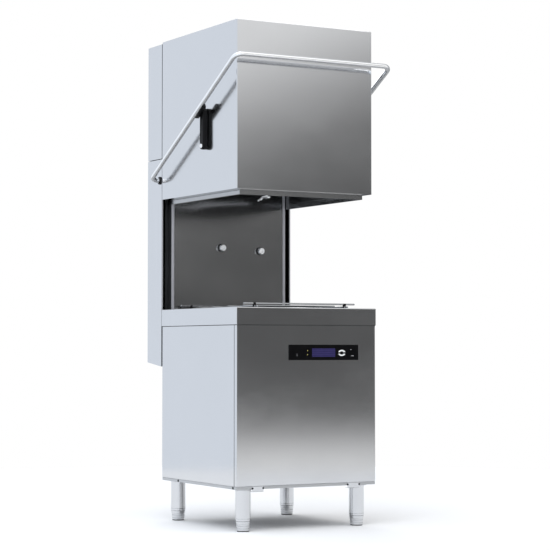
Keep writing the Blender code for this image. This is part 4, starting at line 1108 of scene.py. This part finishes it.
def make_louvres(name, rear, centre_z, half_w, count):
    """Two columns of pressed louvres, with painted shade below their lips: thin near-black plates standing in for
    the dark openings.
    """
    shape = bmesh.new()
    dark = bmesh.new()
    half, stations, tall = half_w * 0.46, 13, LOUVRE_TALL
    for _, column in SIDES:
        x = column * half_w * 0.56
        for k in range(count):
            z = centre_z + (k - (count - 1) / 2) * LOUVRE_PITCH
            loops = []
            for j in range(stations):
                along = -1 + 2 * j / (stations - 1)
                lip = rear + LOUVRE_PROUD * max(0.06, (1 - abs(along) ** 6)) ** 0.5
                here = x + along * half
                section = ((rear - 0.0002, 0.5), (lip, -0.4), (lip - 0.001, -0.5),
                           (rear - 0.0002, 0.3))
                loops.append([(here, y, z + tall * share) for y, share in section])
            loft(shape, loops)
            # painted shade: a thin near-black plate under each lip stands in for the opening's darkness
            soft_box(dark, (x - half * 0.97, rear - 0.0004, z - tall * 0.5),
                     (x + half * 0.97, rear + 0.0003, z + tall * 0.1), 0.0001)
    finish_piece(name, shape, BRUSHED, angle=50)
    finish_piece(name + "_dark", dark, SHADE_AND_DARK_SCREWS)


def make_grille(top, y):
    """The warm-air outlet in the tower's top: a rim, bars and, below them, a thin near-black plate as painted
    shade for the well.
    """
    half_x, half_y, bars = 0.19, 0.036, 17
    rim = bmesh.new()
    sweep(rim, [(a, y + b, top + 0.001) for a, b in rounded_rectangle(half_x, half_y, 0.012)],
          0.002, 10, closed=True)
    for k in range(bars):
        x = -half_x + 2 * half_x * (k + 1) / (bars + 1)
        sweep(rim, [(x, y + share * half_y, top + 0.0012) for share in (-1, 0, 1)], 0.0016, 8)
    finish_piece("outlet_grille", rim, POLISHED)
    # painted shade: a thin near-black plate stands in for the depth of the well
    box_piece("outlet_well", (-half_x, y - half_y, top - 0.0004),
              (half_x, y + half_y, top + 0.0004), 0.0001, 1, SHADE_AND_DARK_SCREWS)


def make_connections():
    """Water, drain and cable fittings and the vents on the cabinet's rear panel."""
    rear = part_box("base_rear_panel")[1].y
    thread = [(0.013 - 0.0006 * (k % 2), 0.0262 - 0.0016 * k) for k in range(7)]
    turned_piece("water_inlet", [
        (0, 0.03), (0.0085, 0.03), (0.0095, 0.0285), (0.0095, 0.027), (0.0125, 0.027), *thread,
        (0.013, 0.012), (0.0175, 0.0115), (0.018, 0.0105), (0.018, 0.003), (0.017, 0.0002),
        (0, 0.0002)
    ], (-0.2, rear, 0.27), "+Y", 36, BRASS)
    turned_piece("drain_outlet", mm(
        (12.5, 34), (15, 34), (15.6, 32), (15, 28), (15.6, 26), (15, 22), (15.6, 20), (15, 14),
        (21, 12), (23, 9), (23, 0.4), (12.5, 0.4)
    ), (-0.12, rear, 0.255), "+Y", 36, BLACK, closed=True)
    turned_piece("cable_gland", mm(
        (0, 20), (6, 20), (8.5, 22), (10.5, 21.5), (12.5, 18), (13, 12), (15, 11), (15.5, 10),
        (15.5, 3), (14.5, 0.2), (0, 0.2)
    ), (0.2, rear, 0.27), "+Y", 36, BLACK)
    turned_piece("earth_stud", mm(
        (0, 16), (2.6, 16), (3, 15.2), (3, 7), (6.2, 6.6), (6.6, 5), (6.6, 1.2), (9, 1), (9, 0.2),
        (0, 0.2)
    ), (0.13, rear, 0.225), "+Y", 24, POLISHED)
    make_louvres("cabinet_louvres", rear, 0.43, 0.2, 8)


def make_floor():
    """A wide pale disc that the machine stands on."""
    shape = lofted([circle(FLOOR_RADIUS, height, 96) for height in (0.0, -FLOOR_THICKNESS)])
    finish_piece("floor", shape, floor_material(), None)


make_camera()
make_world()
make_lights()
make_floor()
paint_frame()
make_handle()
make_legs()
make_leg_tabs()
make_painted_shadow_lines()
make_controls()
make_knobs()
make_guide_strips()
make_rack_guide()
make_spray_arm("upper", "wash", -1, 0.034, 0.012, 5)
make_spray_arm("upper", "rinse", -1, 0.016, 0.008, 4)
make_spray_arm("lower", "wash", 1, 0.034, 0.012, 5)
make_spray_arm("lower", "rinse", 1, 0.016, 0.008, 4)
make_hub_nuts()
make_tank_trim()
make_springs()
make_column_trim()
make_connections()
bpy.context.scene.view_settings.view_transform = "Standard"
